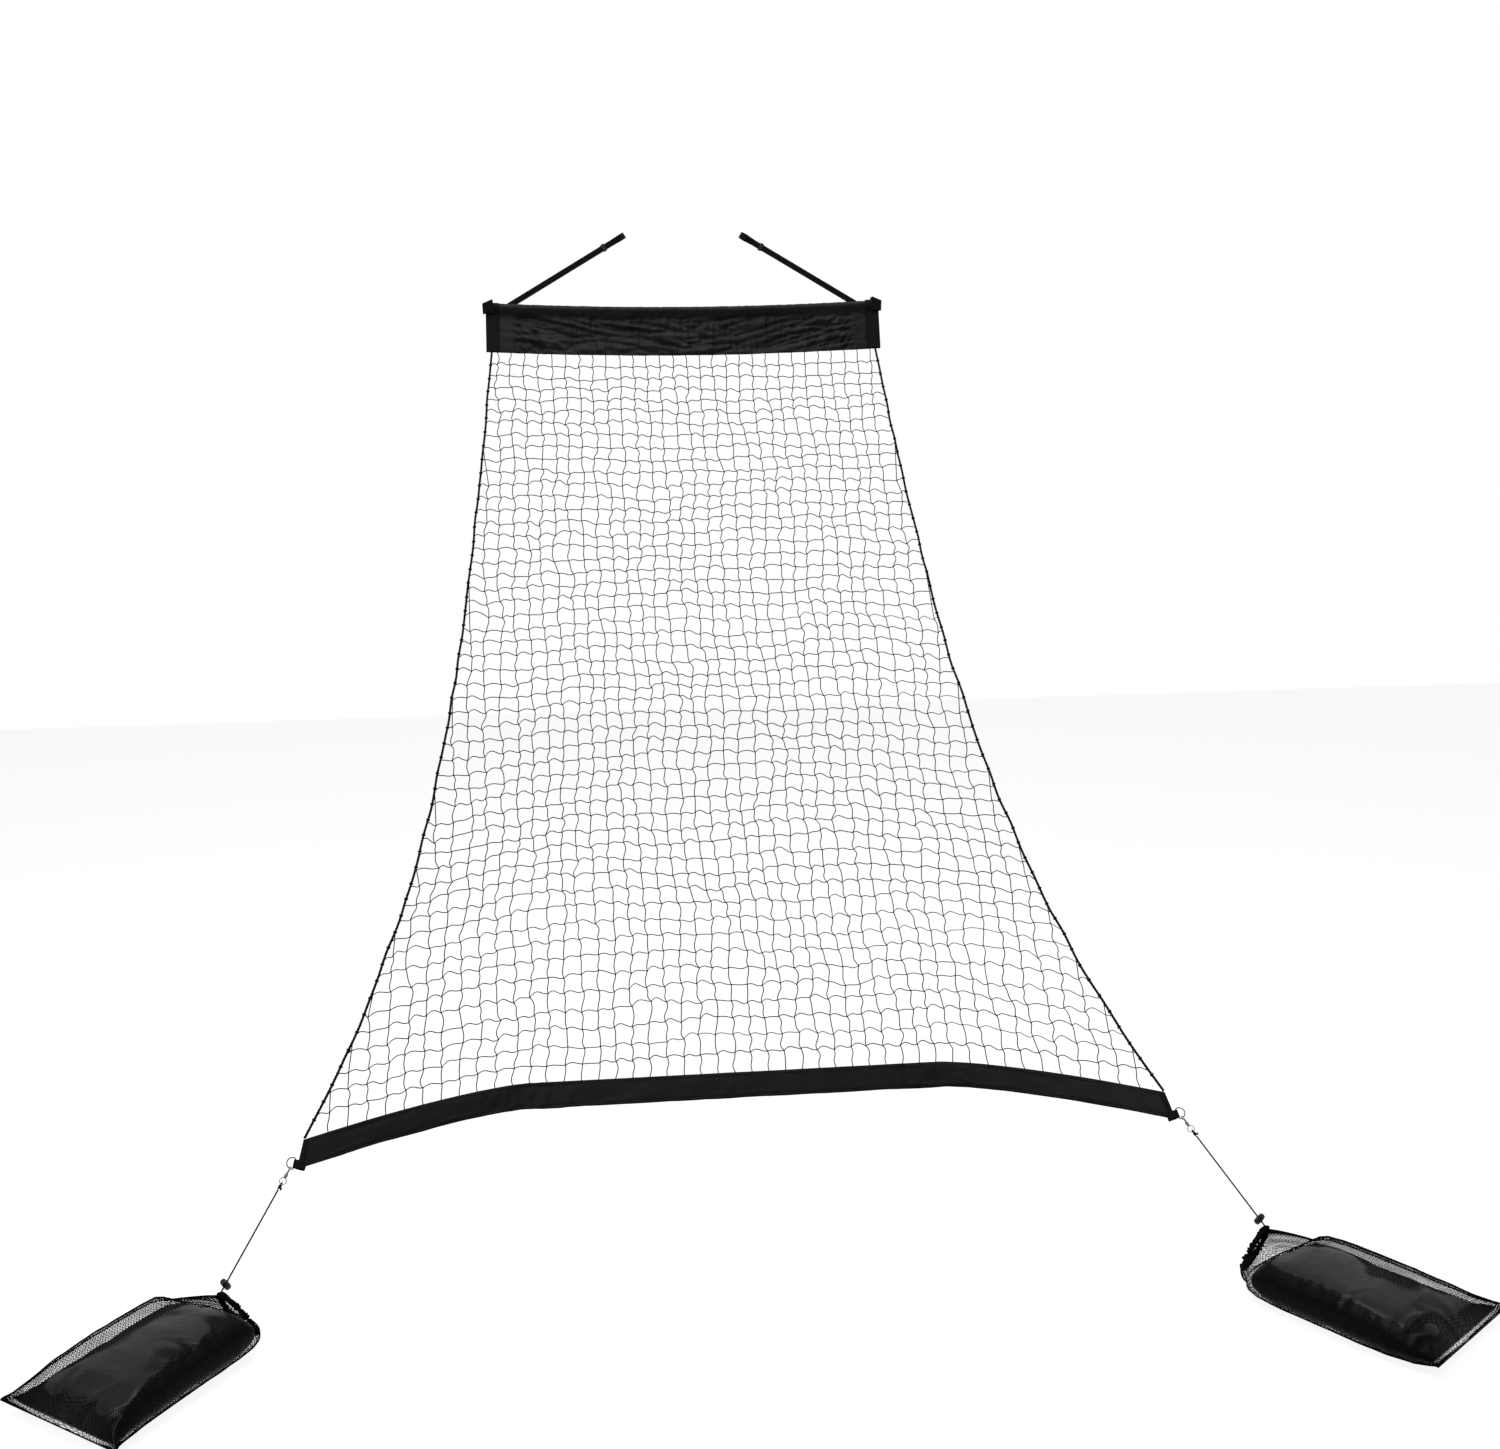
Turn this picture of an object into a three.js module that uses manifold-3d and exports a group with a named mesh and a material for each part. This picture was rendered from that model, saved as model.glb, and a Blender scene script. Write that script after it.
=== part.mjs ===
// A ball return net that hangs from two strap loops and is held down by two sand bags.
// Millimetres. X runs to the right, Y away from the player and Z up.
// The origin lies midway between the two strap loops, where they hang.

import * as THREE from 'three';
import { mergeVertices } from 'three/addons/utils/BufferGeometryUtils.js';
import Module from 'manifold-3d';

const wasm = await Module();
wasm.setup();

// Fits
const touchGap = 0.3;          // between two pieces that touch
const cutOverrun = 1;          // how far a cutter reaches past what it cuts
const groundDrop = 2770;       // from the strap loops down to the ground

// Two-piece bar inside the top sleeve
const barRadius = 11;
const barWall = 1.5;
const barHalfLength = 661;
const barDrop = 234;           // from the loops down to the ends of the bar
const barBow = 18;             // how far its middle hangs below its ends
const bowPitch = 110;          // length of one straight step of the bowed bar
const barSides = 12;
const ferruleLength = 140;
const ferruleWall = 1.5;
const capFlange = 4.5;
const capPlugLength = 25;

// Top sleeve, its end panels and the pockets over the bar's ends
const sleeveHeight = 168;
const sleeveWall = 1.6;
const sleeveHalfLength = 616;
const sleeveSheet = 4;         // thickness of its two layers below the bar
const sleeveTilt = THREE.MathUtils.degToRad(14);
const panelExtra = 1;          // how far an end panel stands proud of the sleeve
const panelLength = 42;
const sleeveLap = THREE.MathUtils.degToRad(30);      // how far its round part reaches below the bar's middle
const shoulderShare = 2;       // of its radius, from the bar down to where the layers meet
const pocketWall = 2.2;
const pocketLength = 35;
const pocketHeight = 46;
const pocketTilt = THREE.MathUtils.degToRad(3);
const pocketCorner = 5;

// Hanging straps and the slides that hold their loops shut
const strapWidth = 20;
const strapThickness = 1.6;
const loopHalfSpacing = 195;
const strapFootX = 587;        // where a strap crosses the bar
const strapFootTail = 15;
const loopRadius = 15;
const loopOpening = THREE.MathUtils.degToRad(60);
const loopNeck = 50;           // from the top of a loop to where its layers meet
const doubledLength = 125;     // from the top of a loop to the end of its second layer
const slidePlace = 74;
const slideLength = 12;
const slideWall = 2.6;

// Net and its border ropes
const netTopInset = 22.3;      // from the outer edge of an end panel in to the net
const netTopHalfWidth = sleeveHalfLength + touchGap + panelLength - netTopInset;
const netSpread = 200;         // width gained evenly from top to bottom, on each side
const netSag = 117;            // how far its middle droops from a straight line
const netStrand = 2.4;
const netColumns = 14;
const netRows = 14;
const netCorners = 8;          // of one crossing
const netFlarePowerShare = 4;
const ropeRadius = 3.8;
const ropeSides = 8;
const ropeEndGap = 1.4;

// Hem band along the bottom of the net
const hemHalfWidth = 1118;
const hemForward = 1365;       // from the loops forward to the middle of its top edge
const hemCornerForward = 245;  // how much further forward its corners are
const hemDrop = 2396;
const hemCornerDrop = 29;
const hemHeight = 70;
const hemCornerHeight = 9;
const hemThickness = 5;
const hemLean = THREE.MathUtils.degToRad(36);
const hemCornerLean = THREE.MathUtils.degToRad(12);
const hemSlant = 11;
const hemBendShare = 0.5;
const hemBendPowerShare = 1.4;

// D ring in its webbing tab at a hem corner
const ringWire = 1.5;
const ringRadius = 15;
const ringLeg = 4;             // straight part of each side of the D
const ringSides = 8;
const ringSteps = 12;
const tabReach = 9;
const tabWidth = 22;
const tabThickness = 1.6;
const tabRise = 13;            // from the hem's lower corner up to the middle of the tab
const tabWrap = THREE.MathUtils.degToRad(135);       // how far it goes round the bar of the D, each way

// Snap hook, its gate and pin
const hookPlate = 4.4;
const hookInside = 5.2;        // half the width of its opening
const hookWall = 2.8;
const hookTip = 4.6;
const hookThroat = 12;
const hookShoulder = 17.5;
const barrelRadius = 4.2;
const barrelLength = 7;
const barrelSides = 16;
const headRadius = 2.6;
const headLength = 1.5;
const headPlace = 19;
const headClearance = 0.4;
const gatePlate = 1.2;
const gatePivot = 14.3;        // along the hook
const gateSide = 6;            // to the side of the hook
const gateEye = 2.1;
const gateWidth = 2;
const gatePinRadius = 0.8;
const gateSpringWire = 0.5;
const gateSlotClearance = 0.3;
const runningClearance = 0.05;

// Swivel ring, and the knot tied to it
const stemRadius = 1.3;
const swivelWire = 1.1;
const swivelRadius = 8.5;
const swivelStand = 2;         // from the barrel's end to the middle of the ring's wire
const cordRadius = 2;
const cordSides = 8;
const leadTuck = 9.3;          // from the bag's mouth on to the ends of its draw cord
const knotRadius = 4.6;
const knotLength = 11;
const knotTail = 13;
const knotTailRadius = 1.5;
const knotTailAngle = THREE.MathUtils.degToRad(80);   // from the lead
const knotTailTwist = THREE.MathUtils.degToRad(35);

// Cord lock on the lead
const lockRadius = 8;
const lockWall = 2.2;
const lockTop = 9;             // from the cord up to the rim of the barrel
const lockFloor = 14;          // from the cord down to the bottom of the barrel
const lockPlace = 22;          // from the bag's mouth up the lead
const cordClearance = 0.4;
const buttonTravel = 3;
const buttonFoot = 4;
const buttonHead = 2.4;
const buttonHeadRadius = 7;
const lockSpringHeight = 3.6;
const lockSpringWire = 1;

// Sand bags and the mesh bags that hold them
const mouthOut = 165;          // from the hem's corner out to the bag's mouth
const mouthAhead = 281;        // and from that corner forward
const mouthX = hemHalfWidth + mouthOut;
const mouthForward = hemForward + hemCornerForward + mouthAhead;
const mouthHeight = 90;
const bagTurn = THREE.MathUtils.degToRad(30.5);   // from straight ahead outwards
const bagSides = 20;
const leftSandStart = 50;      // from the mouth to the near end of the sand bag
const rightSandStart = 105;
const leftSandInward = 31;     // from the mouth inwards to the middle of the sand bag
const rightSandInward = 85;
const sandLength = 465;
const sandHalfWidth = 138;
const sandHeight = 100;
const sandSkewShare = 0.17;    // of a point's distance from the middle, at the far seam
const sandStationShares = [0, 0.02, 0.07, 0.16, 0.36, 0.6, 0.78, 0.9, 0.97, 1];
const sandWidthShares = [0.85, 0.94, 0.98, 1, 1, 1, 1.02, 1.1, 1.24, 1.36];
const sandTopShares = [0.62, 0.78, 0.92, 0.98, 1, 1, 0.97, 0.8, 0.5, 0.32];
const sandBottomShares = [0.3, 0.14, 0.04, 0, 0, 0, 0, 0.03, 0.12, 0.24];
const sandCentreShares = [1, 1, 1, 1, 1, 1, 0.9, 0.6, 0.2, 0];
const sideRoundShare = 0.62;
const crownRoundShare = 0.7;
const restFlat = 2;            // how far a bag is pressed flat where it lies
const meshWall = 1.2;
const meshClearance = 3;
const meshSlack = 30;
const meshSlumpShare = 0.35;
const slackPowerShare = 3;
const meshEnd = 8;
const slitHalfLength = 70;
const slitHalfWidth = 14;
const slitReach = 24;
const slitRise = 24;
const neckLength = 9;
const drawEndShare = 0.7;      // of one side of the mouth, from the lead to the draw cord's end
const shoulderAlongShare = 0.4;    // of the way from the neck to the sand bag's near end
const shoulderSpreadShare = 0.75;

// Colours and finishes
const finishes = {
  nylon: new THREE.MeshStandardMaterial({ color: 0x1b1a1d, roughness: 0.75, metalness: 0 }),
  webbing: new THREE.MeshStandardMaterial({ color: 0x141316, roughness: 0.85, metalness: 0 }),
  twine: new THREE.MeshStandardMaterial({ color: 0x17161a, roughness: 0.8, metalness: 0 }),
  steelTube: new THREE.MeshStandardMaterial({ color: 0x2a2a2c, roughness: 0.5, metalness: 0.6 }),
  nickel: new THREE.MeshStandardMaterial({ color: 0xc9cacc, roughness: 0.25, metalness: 1 }),
  moulded: new THREE.MeshStandardMaterial({ color: 0x1e1d20, roughness: 0.55, metalness: 0 }),
  vinyl: new THREE.MeshStandardMaterial({ color: 0x121116, roughness: 0.3, metalness: 0 }),
  mesh: new THREE.MeshStandardMaterial({ color: 0x6d6568, roughness: 0.8, metalness: 0 }),
};

const xAxis = new THREE.Vector3(1, 0, 0);
const yAxis = new THREE.Vector3(0, 1, 0);
const zAxis = new THREE.Vector3(0, 0, 1);
const root = new THREE.Group();

// Small tools

function place(name, geometry, finish, frame = new THREE.Matrix4()) {
  const mesh = new THREE.Mesh(geometry, finish);
  mesh.name = name;
  mesh.applyMatrix4(frame);
  root.add(mesh);
  return mesh;
}

function sideName(base, side) {
  return `${base}_${side < 0 ? 'left' : 'right'}`;
}

function frameOf(origin, along, sideways) {
  const x = along.clone().normalize();
  const z = x.clone().cross(sideways).normalize();
  const y = z.clone().cross(x);
  return new THREE.Matrix4().makeBasis(x, y, z).setPosition(origin);
}

function axisOf(frame, index) {
  return new THREE.Vector3().setFromMatrixColumn(frame, index);
}

function toSolid(geometry) {
  const bare = geometry.clone();
  bare.deleteAttribute('normal');
  bare.deleteAttribute('uv');
  const merged = mergeVertices(bare);
  const triVerts = merged.index ? Uint32Array.from(merged.index.array) : undefined;
  return new wasm.Manifold(new wasm.Mesh({
    numProp: 3,
    vertProperties: Float32Array.from(merged.attributes.position.array),
    triVerts,
  }));
}

function toGeometry(solid) {
  const mesh = solid.getMesh();
  const geometry = new THREE.BufferGeometry();
  geometry.setAttribute('position', new THREE.BufferAttribute(mesh.vertProperties, mesh.numProp));
  geometry.setIndex(new THREE.BufferAttribute(mesh.triVerts, 1));
  geometry.computeVertexNormals();
  return geometry;
}

function joined(...geometries) {
  return toGeometry(geometries.map(toSolid).reduce((whole, piece) => whole.add(piece)));
}

function cutBy(geometry, ...cutters) {
  return toGeometry(cutters.map(toSolid).reduce((left, cutter) => left.subtract(cutter), toSolid(geometry)));
}

function circle(radius, sides) {
  const shape = new THREE.Shape();
  for (let i = 0; i < sides; i += 1) {
    const angle = 2 * Math.PI * i / sides;
    const point = [radius * Math.cos(angle), radius * Math.sin(angle)];
    if (i === 0) shape.moveTo(...point);
    else shape.lineTo(...point);
  }
  shape.closePath();
  return shape;
}

// The corner radius of a polygon whose flats clear a round piece
function around(radius, sides) {
  return radius / Math.cos(Math.PI / sides);
}

function outline(points) {
  return new THREE.Shape(points.map(([x, y]) => new THREE.Vector2(x, y)));
}

function slab(shape, thickness) {
  const geometry = new THREE.ExtrudeGeometry(shape, { depth: thickness, bevelEnabled: false });
  return geometry.translate(0, 0, -thickness / 2);
}

// A turned piece about local X, from points of [place along X, radius]
function turned(points, sides) {
  const profile = points.map(([along, radius]) => new THREE.Vector2(radius, along));
  const geometry = new THREE.LatheGeometry(profile, sides);
  geometry.applyMatrix4(new THREE.Matrix4().makeBasis(yAxis, xAxis, zAxis.clone().negate()));
  return geometry;
}

// A round ring about local Z
function roundRing(radius, wire, steps, sides) {
  const profile = [];
  for (let i = 0; i <= sides; i += 1) {
    const angle = 2 * Math.PI * i / sides;
    profile.push(new THREE.Vector2(radius + wire * Math.cos(angle), wire * Math.sin(angle)));
  }
  profile[sides].copy(profile[0]);
  return new THREE.LatheGeometry(profile, steps).rotateX(Math.PI / 2);
}

// A path that a section follows from one of its own points to the next
class StationPath extends THREE.Curve {
  constructor(points) {
    super();
    this.points = points;
  }

  getPoint(share, target = new THREE.Vector3()) {
    const steps = this.points.length - 1;
    const at = Math.min(share * steps, steps);
    const first = Math.min(Math.floor(at), steps - 1);
    return target.lerpVectors(this.points[first], this.points[first + 1], at - first);
  }

  getPointAt(share, target) {
    return this.getPoint(share, target);
  }

  getTangentAt(share, target) {
    return this.getTangent(share, target);
  }
}

function tube(points, radius, sides) {
  return new THREE.ExtrudeGeometry(circle(radius, sides), {
    steps: points.length - 1,
    extrudePath: new StationPath(points),
    bevelEnabled: false,
  });
}

// A closed skin over a row of rings of points, with a flat fan at each end. Its faces between the
// first crossed rings are split along their other diagonal
function skin(rings, crossed = 0) {
  const count = rings[0].length;
  const points = rings.flat();
  const faces = [];
  for (let ring = 0; ring + 1 < rings.length; ring += 1) {
    for (let i = 0; i < count; i += 1) {
      const a = ring * count + i;
      const b = ring * count + (i + 1) % count;
      if (ring < crossed) faces.push(a, b, a + count, b, b + count, a + count);
      else faces.push(a, b, b + count, a, b + count, a + count);
    }
  }
  const ends = [[0, false], [(rings.length - 1) * count, true]];
  for (const [first, last] of ends) {
    const middle = points.length;
    const ring = points.slice(first, first + count);
    points.push(ring.reduce((sum, point) => sum.add(point), new THREE.Vector3()).divideScalar(count));
    for (let i = 0; i < count; i += 1) {
      const a = first + i;
      const b = first + (i + 1) % count;
      faces.push(...(last ? [a, b, middle] : [b, a, middle]));
    }
  }
  return closedSkin(points, faces);
}

function closedSkin(points, faces) {
  let volume = 0;
  for (let i = 0; i < faces.length; i += 3) {
    const [a, b, c] = [points[faces[i]], points[faces[i + 1]], points[faces[i + 2]]];
    volume += a.dot(b.clone().cross(c));
  }
  if (volume < 0) faces.reverse();
  const geometry = new THREE.BufferGeometry().setFromPoints(points);
  geometry.setIndex(faces);
  geometry.computeVertexNormals();
  return geometry;
}

// Bar, sleeve and end panels, all on one bowed line

const sleeveRadius = barRadius + touchGap + sleeveWall;
const barForward = sleeveRadius + touchGap + strapThickness / 2;

function bowAt(x) {
  return barBow * (1 - Math.min(1, (x / barHalfLength) ** 2));
}

// Moves a piece modelled about the X axis onto the bowed line of the bar
function ontoBar(geometry) {
  const position = geometry.attributes.position;
  for (let i = 0; i < position.count; i += 1) {
    position.setY(i, position.getY(i) - barForward);
    position.setZ(i, position.getZ(i) - barDrop - bowAt(position.getX(i)));
  }
  geometry.computeVertexNormals();
  return geometry;
}

function alongBar(shape, start, end) {
  const depth = end - start;
  const steps = Math.max(1, Math.ceil(depth / bowPitch));
  const geometry = new THREE.ExtrudeGeometry(shape, { depth, steps, bevelEnabled: false });
  geometry.applyMatrix4(new THREE.Matrix4().makeBasis(yAxis, zAxis, xAxis));
  return ontoBar(geometry.translate(start, 0, 0));
}

function tubeSection(radius, wall) {
  const section = circle(radius, barSides);
  section.holes.push(circle(radius - wall, barSides));
  return section;
}

function sideSpan(side, near, far) {
  return side < 0 ? [-far, -near] : [near, far];
}

function makeBar() {
  const ferruleRadius = (barRadius - barWall) - touchGap;
  for (const side of [-1, 1]) {
    const span = sideSpan(side, touchGap / 2, barHalfLength);
    place(sideName('bar_tube', side), alongBar(tubeSection(barRadius, barWall), ...span), finishes.steelTube);
    place(sideName('bar_end_cap', side), makeEndCap(side), finishes.moulded);
  }
  const half = ferruleLength / 2;
  const ferrule = alongBar(tubeSection(ferruleRadius, ferruleWall), -half, half);
  place('bar_ferrule', ferrule, finishes.steelTube);
}

function makeEndCap(side) {
  const plug = barRadius - barWall - touchGap;
  const flangeStart = barHalfLength + touchGap;
  const cap = turned([
    [barHalfLength - capPlugLength, 0],
    [barHalfLength - capPlugLength, plug],
    [flangeStart, plug],
    [flangeStart, barRadius],
    [flangeStart + capFlange, barRadius],
    [flangeStart + capFlange, 0],
  ], barSides);
  if (side < 0) cap.rotateZ(Math.PI);
  return ontoBar(cap);
}

function sleeveSection(extra) {
  const radius = sleeveRadius + extra;
  const sheet = sleeveSheet / 2 + extra;
  const bottom = sleeveHeight - sleeveRadius + extra;
  const points = [];
  const [from, to] = [-sleeveLap, Math.PI + sleeveLap];
  const shoulder = shoulderShare * radius;
  for (let i = 0; i <= barSides; i += 1) {
    const angle = from + (to - from) * i / barSides;
    points.push([radius * Math.cos(angle), radius * Math.sin(angle)]);
  }
  points.push([-sheet, -shoulder], [-sheet, -bottom], [sheet, -bottom], [sheet, -shoulder]);
  const tilted = points.map(([y, z]) => [
    y * Math.cos(sleeveTilt) + z * Math.sin(sleeveTilt),
    z * Math.cos(sleeveTilt) - y * Math.sin(sleeveTilt),
  ]);
  const section = outline(tilted);
  section.holes.push(circle(around(barRadius + touchGap, barSides), barSides));
  return section;
}

function makeSleeve() {
  const sleeve = alongBar(sleeveSection(0), -sleeveHalfLength, sleeveHalfLength);
  place('header_sleeve', sleeve, finishes.nylon);
  const panelStart = sleeveHalfLength + touchGap;
  for (const side of [-1, 1]) {
    const span = sideSpan(side, panelStart, panelStart + panelLength);
    place(sideName('header_panel', side), alongBar(sleeveSection(panelExtra), ...span), finishes.webbing);
    place(sideName('bar_pocket', side), makePocket(), finishes.webbing, pocketFrame(side));
  }
}

// A webbing band folded round the end of the bar, open towards the sleeve
function makePocket() {
  const inside = sleeveRadius + panelExtra + touchGap;
  const outside = inside + pocketWall;
  const face = barRadius * Math.sin(pocketTilt) + touchGap;
  const end = face + pocketWall;
  const start = end - pocketLength;
  const bend = face - pocketCorner + pocketWall;
  const height = inside + pocketWall / 2 - pocketCorner;
  return slab(outline([
    [start, outside], [end - pocketCorner, outside], [end, outside - pocketCorner],
    [end, pocketCorner - outside], [end - pocketCorner, -outside], [start, -outside],
    [start, -inside], [bend, -inside], [face, -height], [face, height], [bend, inside], [start, inside],
  ]), pocketHeight);
}

function pocketFrame(side) {
  const outward = new THREE.Vector3(side * Math.cos(pocketTilt), 0, -Math.sin(pocketTilt));
  const origin = new THREE.Vector3(side * (barHalfLength + touchGap + capFlange), -barForward, -barDrop);
  return frameOf(origin, outward, yAxis);
}

// Straps

function strapFrame(side) {
  const top = new THREE.Vector3(side * loopHalfSpacing, 0, 0);
  const foot = new THREE.Vector3(side * strapFootX, 0, -barDrop);
  return frameOf(top, foot.sub(top), yAxis);
}

function loopArc(radius, centre, rise, from, to) {
  const points = [];
  for (let i = 0; i <= ringSteps; i += 1) {
    const angle = from + (to - from) * i / ringSteps;
    points.push([centre + radius * Math.cos(angle), rise + radius * Math.sin(angle)]);
  }
  return points;
}

function makeStrap() {
  const half = strapThickness / 2;
  const length = Math.hypot(strapFootX - loopHalfSpacing, barDrop) + strapFootTail;
  const back = half + strapThickness;
  const [from, to] = [loopOpening, 2 * Math.PI - loopOpening];
  const shape = outline([
    [length, -half], [length, half], [doubledLength, half], [doubledLength, back], [loopNeck, back],
    ...loopArc(loopRadius + strapThickness, loopRadius, half, from, to),
    [loopNeck, -half],
  ]);
  shape.holes.push(outline([
    ...loopArc(loopRadius, loopRadius, half, from, to),
    [loopNeck - strapThickness, half],
  ]));
  return slab(shape, strapWidth);
}

// A frame that slides along the two layers of a strap
function makeSlide() {
  const windowY = 2 * strapThickness + 2 * touchGap;
  const windowZ = strapWidth + 2 * touchGap;
  const frame = new THREE.BoxGeometry(slideLength, windowY + 2 * slideWall, windowZ + 2 * slideWall);
  const opening = new THREE.BoxGeometry(slideLength + 2 * cutOverrun, windowY, windowZ);
  return cutBy(frame, opening).translate(slidePlace + slideLength / 2, strapThickness / 2, 0);
}

function makeStraps() {
  for (const side of [-1, 1]) {
    place(sideName('strap', side), makeStrap(), finishes.webbing, strapFrame(side));
    place(sideName('strap_slide', side), makeSlide(), finishes.moulded, strapFrame(side));
  }
}

// Hem band, with a bend at each of the net's strands

const netBottomHalfWidth = hemHalfWidth - 2 * ropeRadius - touchGap;
const netFlare = netBottomHalfWidth - netTopHalfWidth - netSpread;
const netInset = netBottomHalfWidth / hemHalfWidth;

function cornerShare(across) {
  return (Math.max(0, Math.abs(across) - hemBendShare) / (1 - hemBendShare)) ** hemBendPowerShare;
}

function hemTop(across) {
  const corner = cornerShare(across);
  return new THREE.Vector3(
    across * hemHalfWidth,
    -hemForward - hemCornerForward * corner,
    -hemDrop - hemCornerDrop * corner,
  );
}

function hemBottom(across) {
  const corner = cornerShare(across);
  const height = hemHeight + hemCornerHeight * corner;
  const lean = hemLean + hemCornerLean * corner;
  const down = new THREE.Vector3(across * hemSlant, -height * Math.sin(lean), -height * Math.cos(lean));
  return hemTop(across).add(down);
}

function hemAlong(across) {
  const step = 1 / netColumns;
  return hemTop(Math.min(1, across + step)).sub(hemTop(Math.max(-1, across - step)));
}

function hemNormal(across) {
  const upward = hemTop(across).sub(hemBottom(across));
  return hemAlong(across).cross(upward).normalize();
}

function makeHem() {
  const rings = [];
  const inner = Array.from({ length: netColumns + 1 }, (empty, i) => netInset * (2 * i / netColumns - 1));
  for (const across of [-1, ...inner, 1]) {
    const half = hemNormal(across).multiplyScalar(hemThickness / 2);
    const [top, bottom] = [hemTop(across), hemBottom(across)];
    rings.push([
      top.clone().add(half), bottom.clone().add(half),
      bottom.clone().sub(half), top.clone().sub(half),
    ]);
  }
  place('hem_band', skin(rings), finishes.nylon);
}

// Net, as a lattice of flat strands, and its border ropes

function netPoint(across, down) {
  const half = netTopHalfWidth + netSpread * down + netFlare * down ** netFlarePowerShare;
  const reach = sleeveHeight - sleeveRadius + panelExtra + touchGap + netStrand * Math.SQRT1_2;
  const topX = across * netTopHalfWidth;
  const topY = -barForward - reach * Math.sin(sleeveTilt);
  const topZ = -barDrop - bowAt(topX) - reach * Math.cos(sleeveTilt);
  const hem = hemTop(across * netInset);
  hem.add(hem.clone().sub(hemBottom(across * netInset)).setLength(touchGap + netStrand * Math.SQRT1_2));
  const droop = netSag * 4 * down * (1 - down);
  return new THREE.Vector3(
    across * half,
    THREE.MathUtils.lerp(topY, hem.y, down) + droop,
    THREE.MathUtils.lerp(topZ, hem.z, down),
  );
}

function netFrame(across, down) {
  const [stepAcross, stepDown] = [1 / netColumns, 1 / netRows];
  const along = netPoint(across + stepAcross, down).sub(netPoint(across - stepAcross, down)).normalize();
  const [above, below] = [Math.max(0, down - stepDown), Math.min(1, down + stepDown)];
  const drop = netPoint(across, below).sub(netPoint(across, above)).normalize();
  const out = along.clone().cross(drop).normalize();
  const border = out.clone().cross(drop).normalize();
  return { along, drop, out, border };
}

function makeNet() {
  const points = [];
  const faces = [];
  const half = netStrand / 2;
  const quad = (a, b, c, d) => faces.push(a, b, c, a, c, d);
  const back = netCorners / 2;
  const first = (column, row) => netCorners * (row * (netColumns + 1) + column);
  for (let row = 0; row <= netRows; row += 1) {
    for (let column = 0; column <= netColumns; column += 1) {
      const [across, down] = [2 * column / netColumns - 1, row / netRows];
      const centre = netPoint(across, down);
      const { along, drop, out } = netFrame(across, down);
      for (const side of [1, -1]) {
        for (const [right, below] of [[-1, -1], [1, -1], [1, 1], [-1, 1]]) {
          points.push(centre.clone()
            .addScaledVector(along, right * half)
            .addScaledVector(drop, below * half)
            .addScaledVector(out, side * half));
        }
      }
    }
  }
  // The first half of a crossing's corners lie on its front, and the rest behind them
  const strand = (a, b, [a1, a2], [b1, b2]) => {
    quad(a + a1, b + b1, b + b2, a + a2);
    quad(a + a2, b + b2, b + b2 + back, a + a2 + back);
    quad(a + a2 + back, b + b2 + back, b + b1 + back, a + a1 + back);
    quad(a + a1 + back, b + b1 + back, b + b1, a + a1);
  };
  const side = (a, [c1, c2]) => quad(a + c2, a + c1, a + c1 + back, a + c2 + back);
  for (let row = 0; row <= netRows; row += 1) {
    for (let column = 0; column <= netColumns; column += 1) {
      const a = first(column, row);
      quad(a, a + 1, a + 2, a + 3);
      quad(a + back, a + back + 3, a + back + 2, a + back + 1);
      if (column < netColumns) strand(a, first(column + 1, row), [1, 2], [0, 3]);
      if (row < netRows) strand(a, first(column, row + 1), [2, 3], [1, 0]);
      if (column === 0) side(a, [3, 0]);
      if (column === netColumns) side(a, [1, 2]);
      if (row === 0) side(a, [0, 1]);
      if (row === netRows) side(a, [2, 3]);
    }
  }
  place('return_net', closedSkin(points, faces), finishes.twine);
}

function ropePoints(side) {
  const points = [];
  for (let row = 0; row <= netRows; row += 1) {
    const down = row / netRows;
    const { border } = netFrame(side, down);
    if (border.x * side < 0) border.negate();
    points.push(netPoint(side, down).addScaledVector(border, netStrand / 2 + touchGap + ropeRadius));
  }
  points[0].add(points[1].clone().sub(points[0]).setLength(ropeEndGap));
  points[netRows].add(points[netRows - 1].clone().sub(points[netRows]).setLength(ropeEndGap));
  return points;
}

function makeRopes() {
  for (const side of [-1, 1]) {
    place(sideName('border_rope', side), tube(ropePoints(side), ropeRadius, ropeSides), finishes.twine);
  }
}

// D rings in their tabs at the hem corners

function ringFrame(side) {
  const [top, bottom] = [hemTop(side), hemBottom(side)];
  const upward = top.clone().sub(bottom).normalize();
  const outward = hemAlong(side).multiplyScalar(side).projectOnPlane(upward).normalize();
  const origin = bottom.clone().addScaledVector(upward, tabRise).addScaledVector(outward, tabReach);
  return frameOf(origin, outward, upward);
}

function makeRing() {
  const arc = loopArc(ringRadius, ringLeg, 0, -Math.PI / 2, Math.PI / 2);
  const points = [[0, -ringRadius], ...arc, [0, ringRadius]].map(([x, y]) => new THREE.Vector3(x, y, 0));
  const bow = tube(points, ringWire, ringSides);
  const bar = new THREE.CylinderGeometry(ringWire, ringWire, 2 * ringRadius, ringSides);
  const corner = new THREE.SphereGeometry(ringWire, ringSides, ringSides / 2);
  const corners = [-ringRadius, ringRadius].map((y) => corner.clone().translate(0, y, 0));
  return joined(bow, bar, ...corners);
}

function makeTab() {
  const inside = around(ringWire + touchGap, ringSides);
  const outside = inside + tabThickness;
  const [start, neck] = [touchGap - tabReach, -outside];
  const shape = outline([
    [start, tabThickness], [start, -tabThickness], [neck, -tabThickness],
    ...loopArc(outside, 0, 0, -tabWrap, tabWrap),
    [neck, tabThickness],
  ]);
  shape.holes.push(circle(inside, ringSides));
  return slab(shape, tabWidth).rotateX(Math.PI / 2);
}

// Snap hooks

function mouthPoint(side) {
  return new THREE.Vector3(side * mouthX, -mouthForward, mouthHeight - groundDrop);
}

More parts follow.
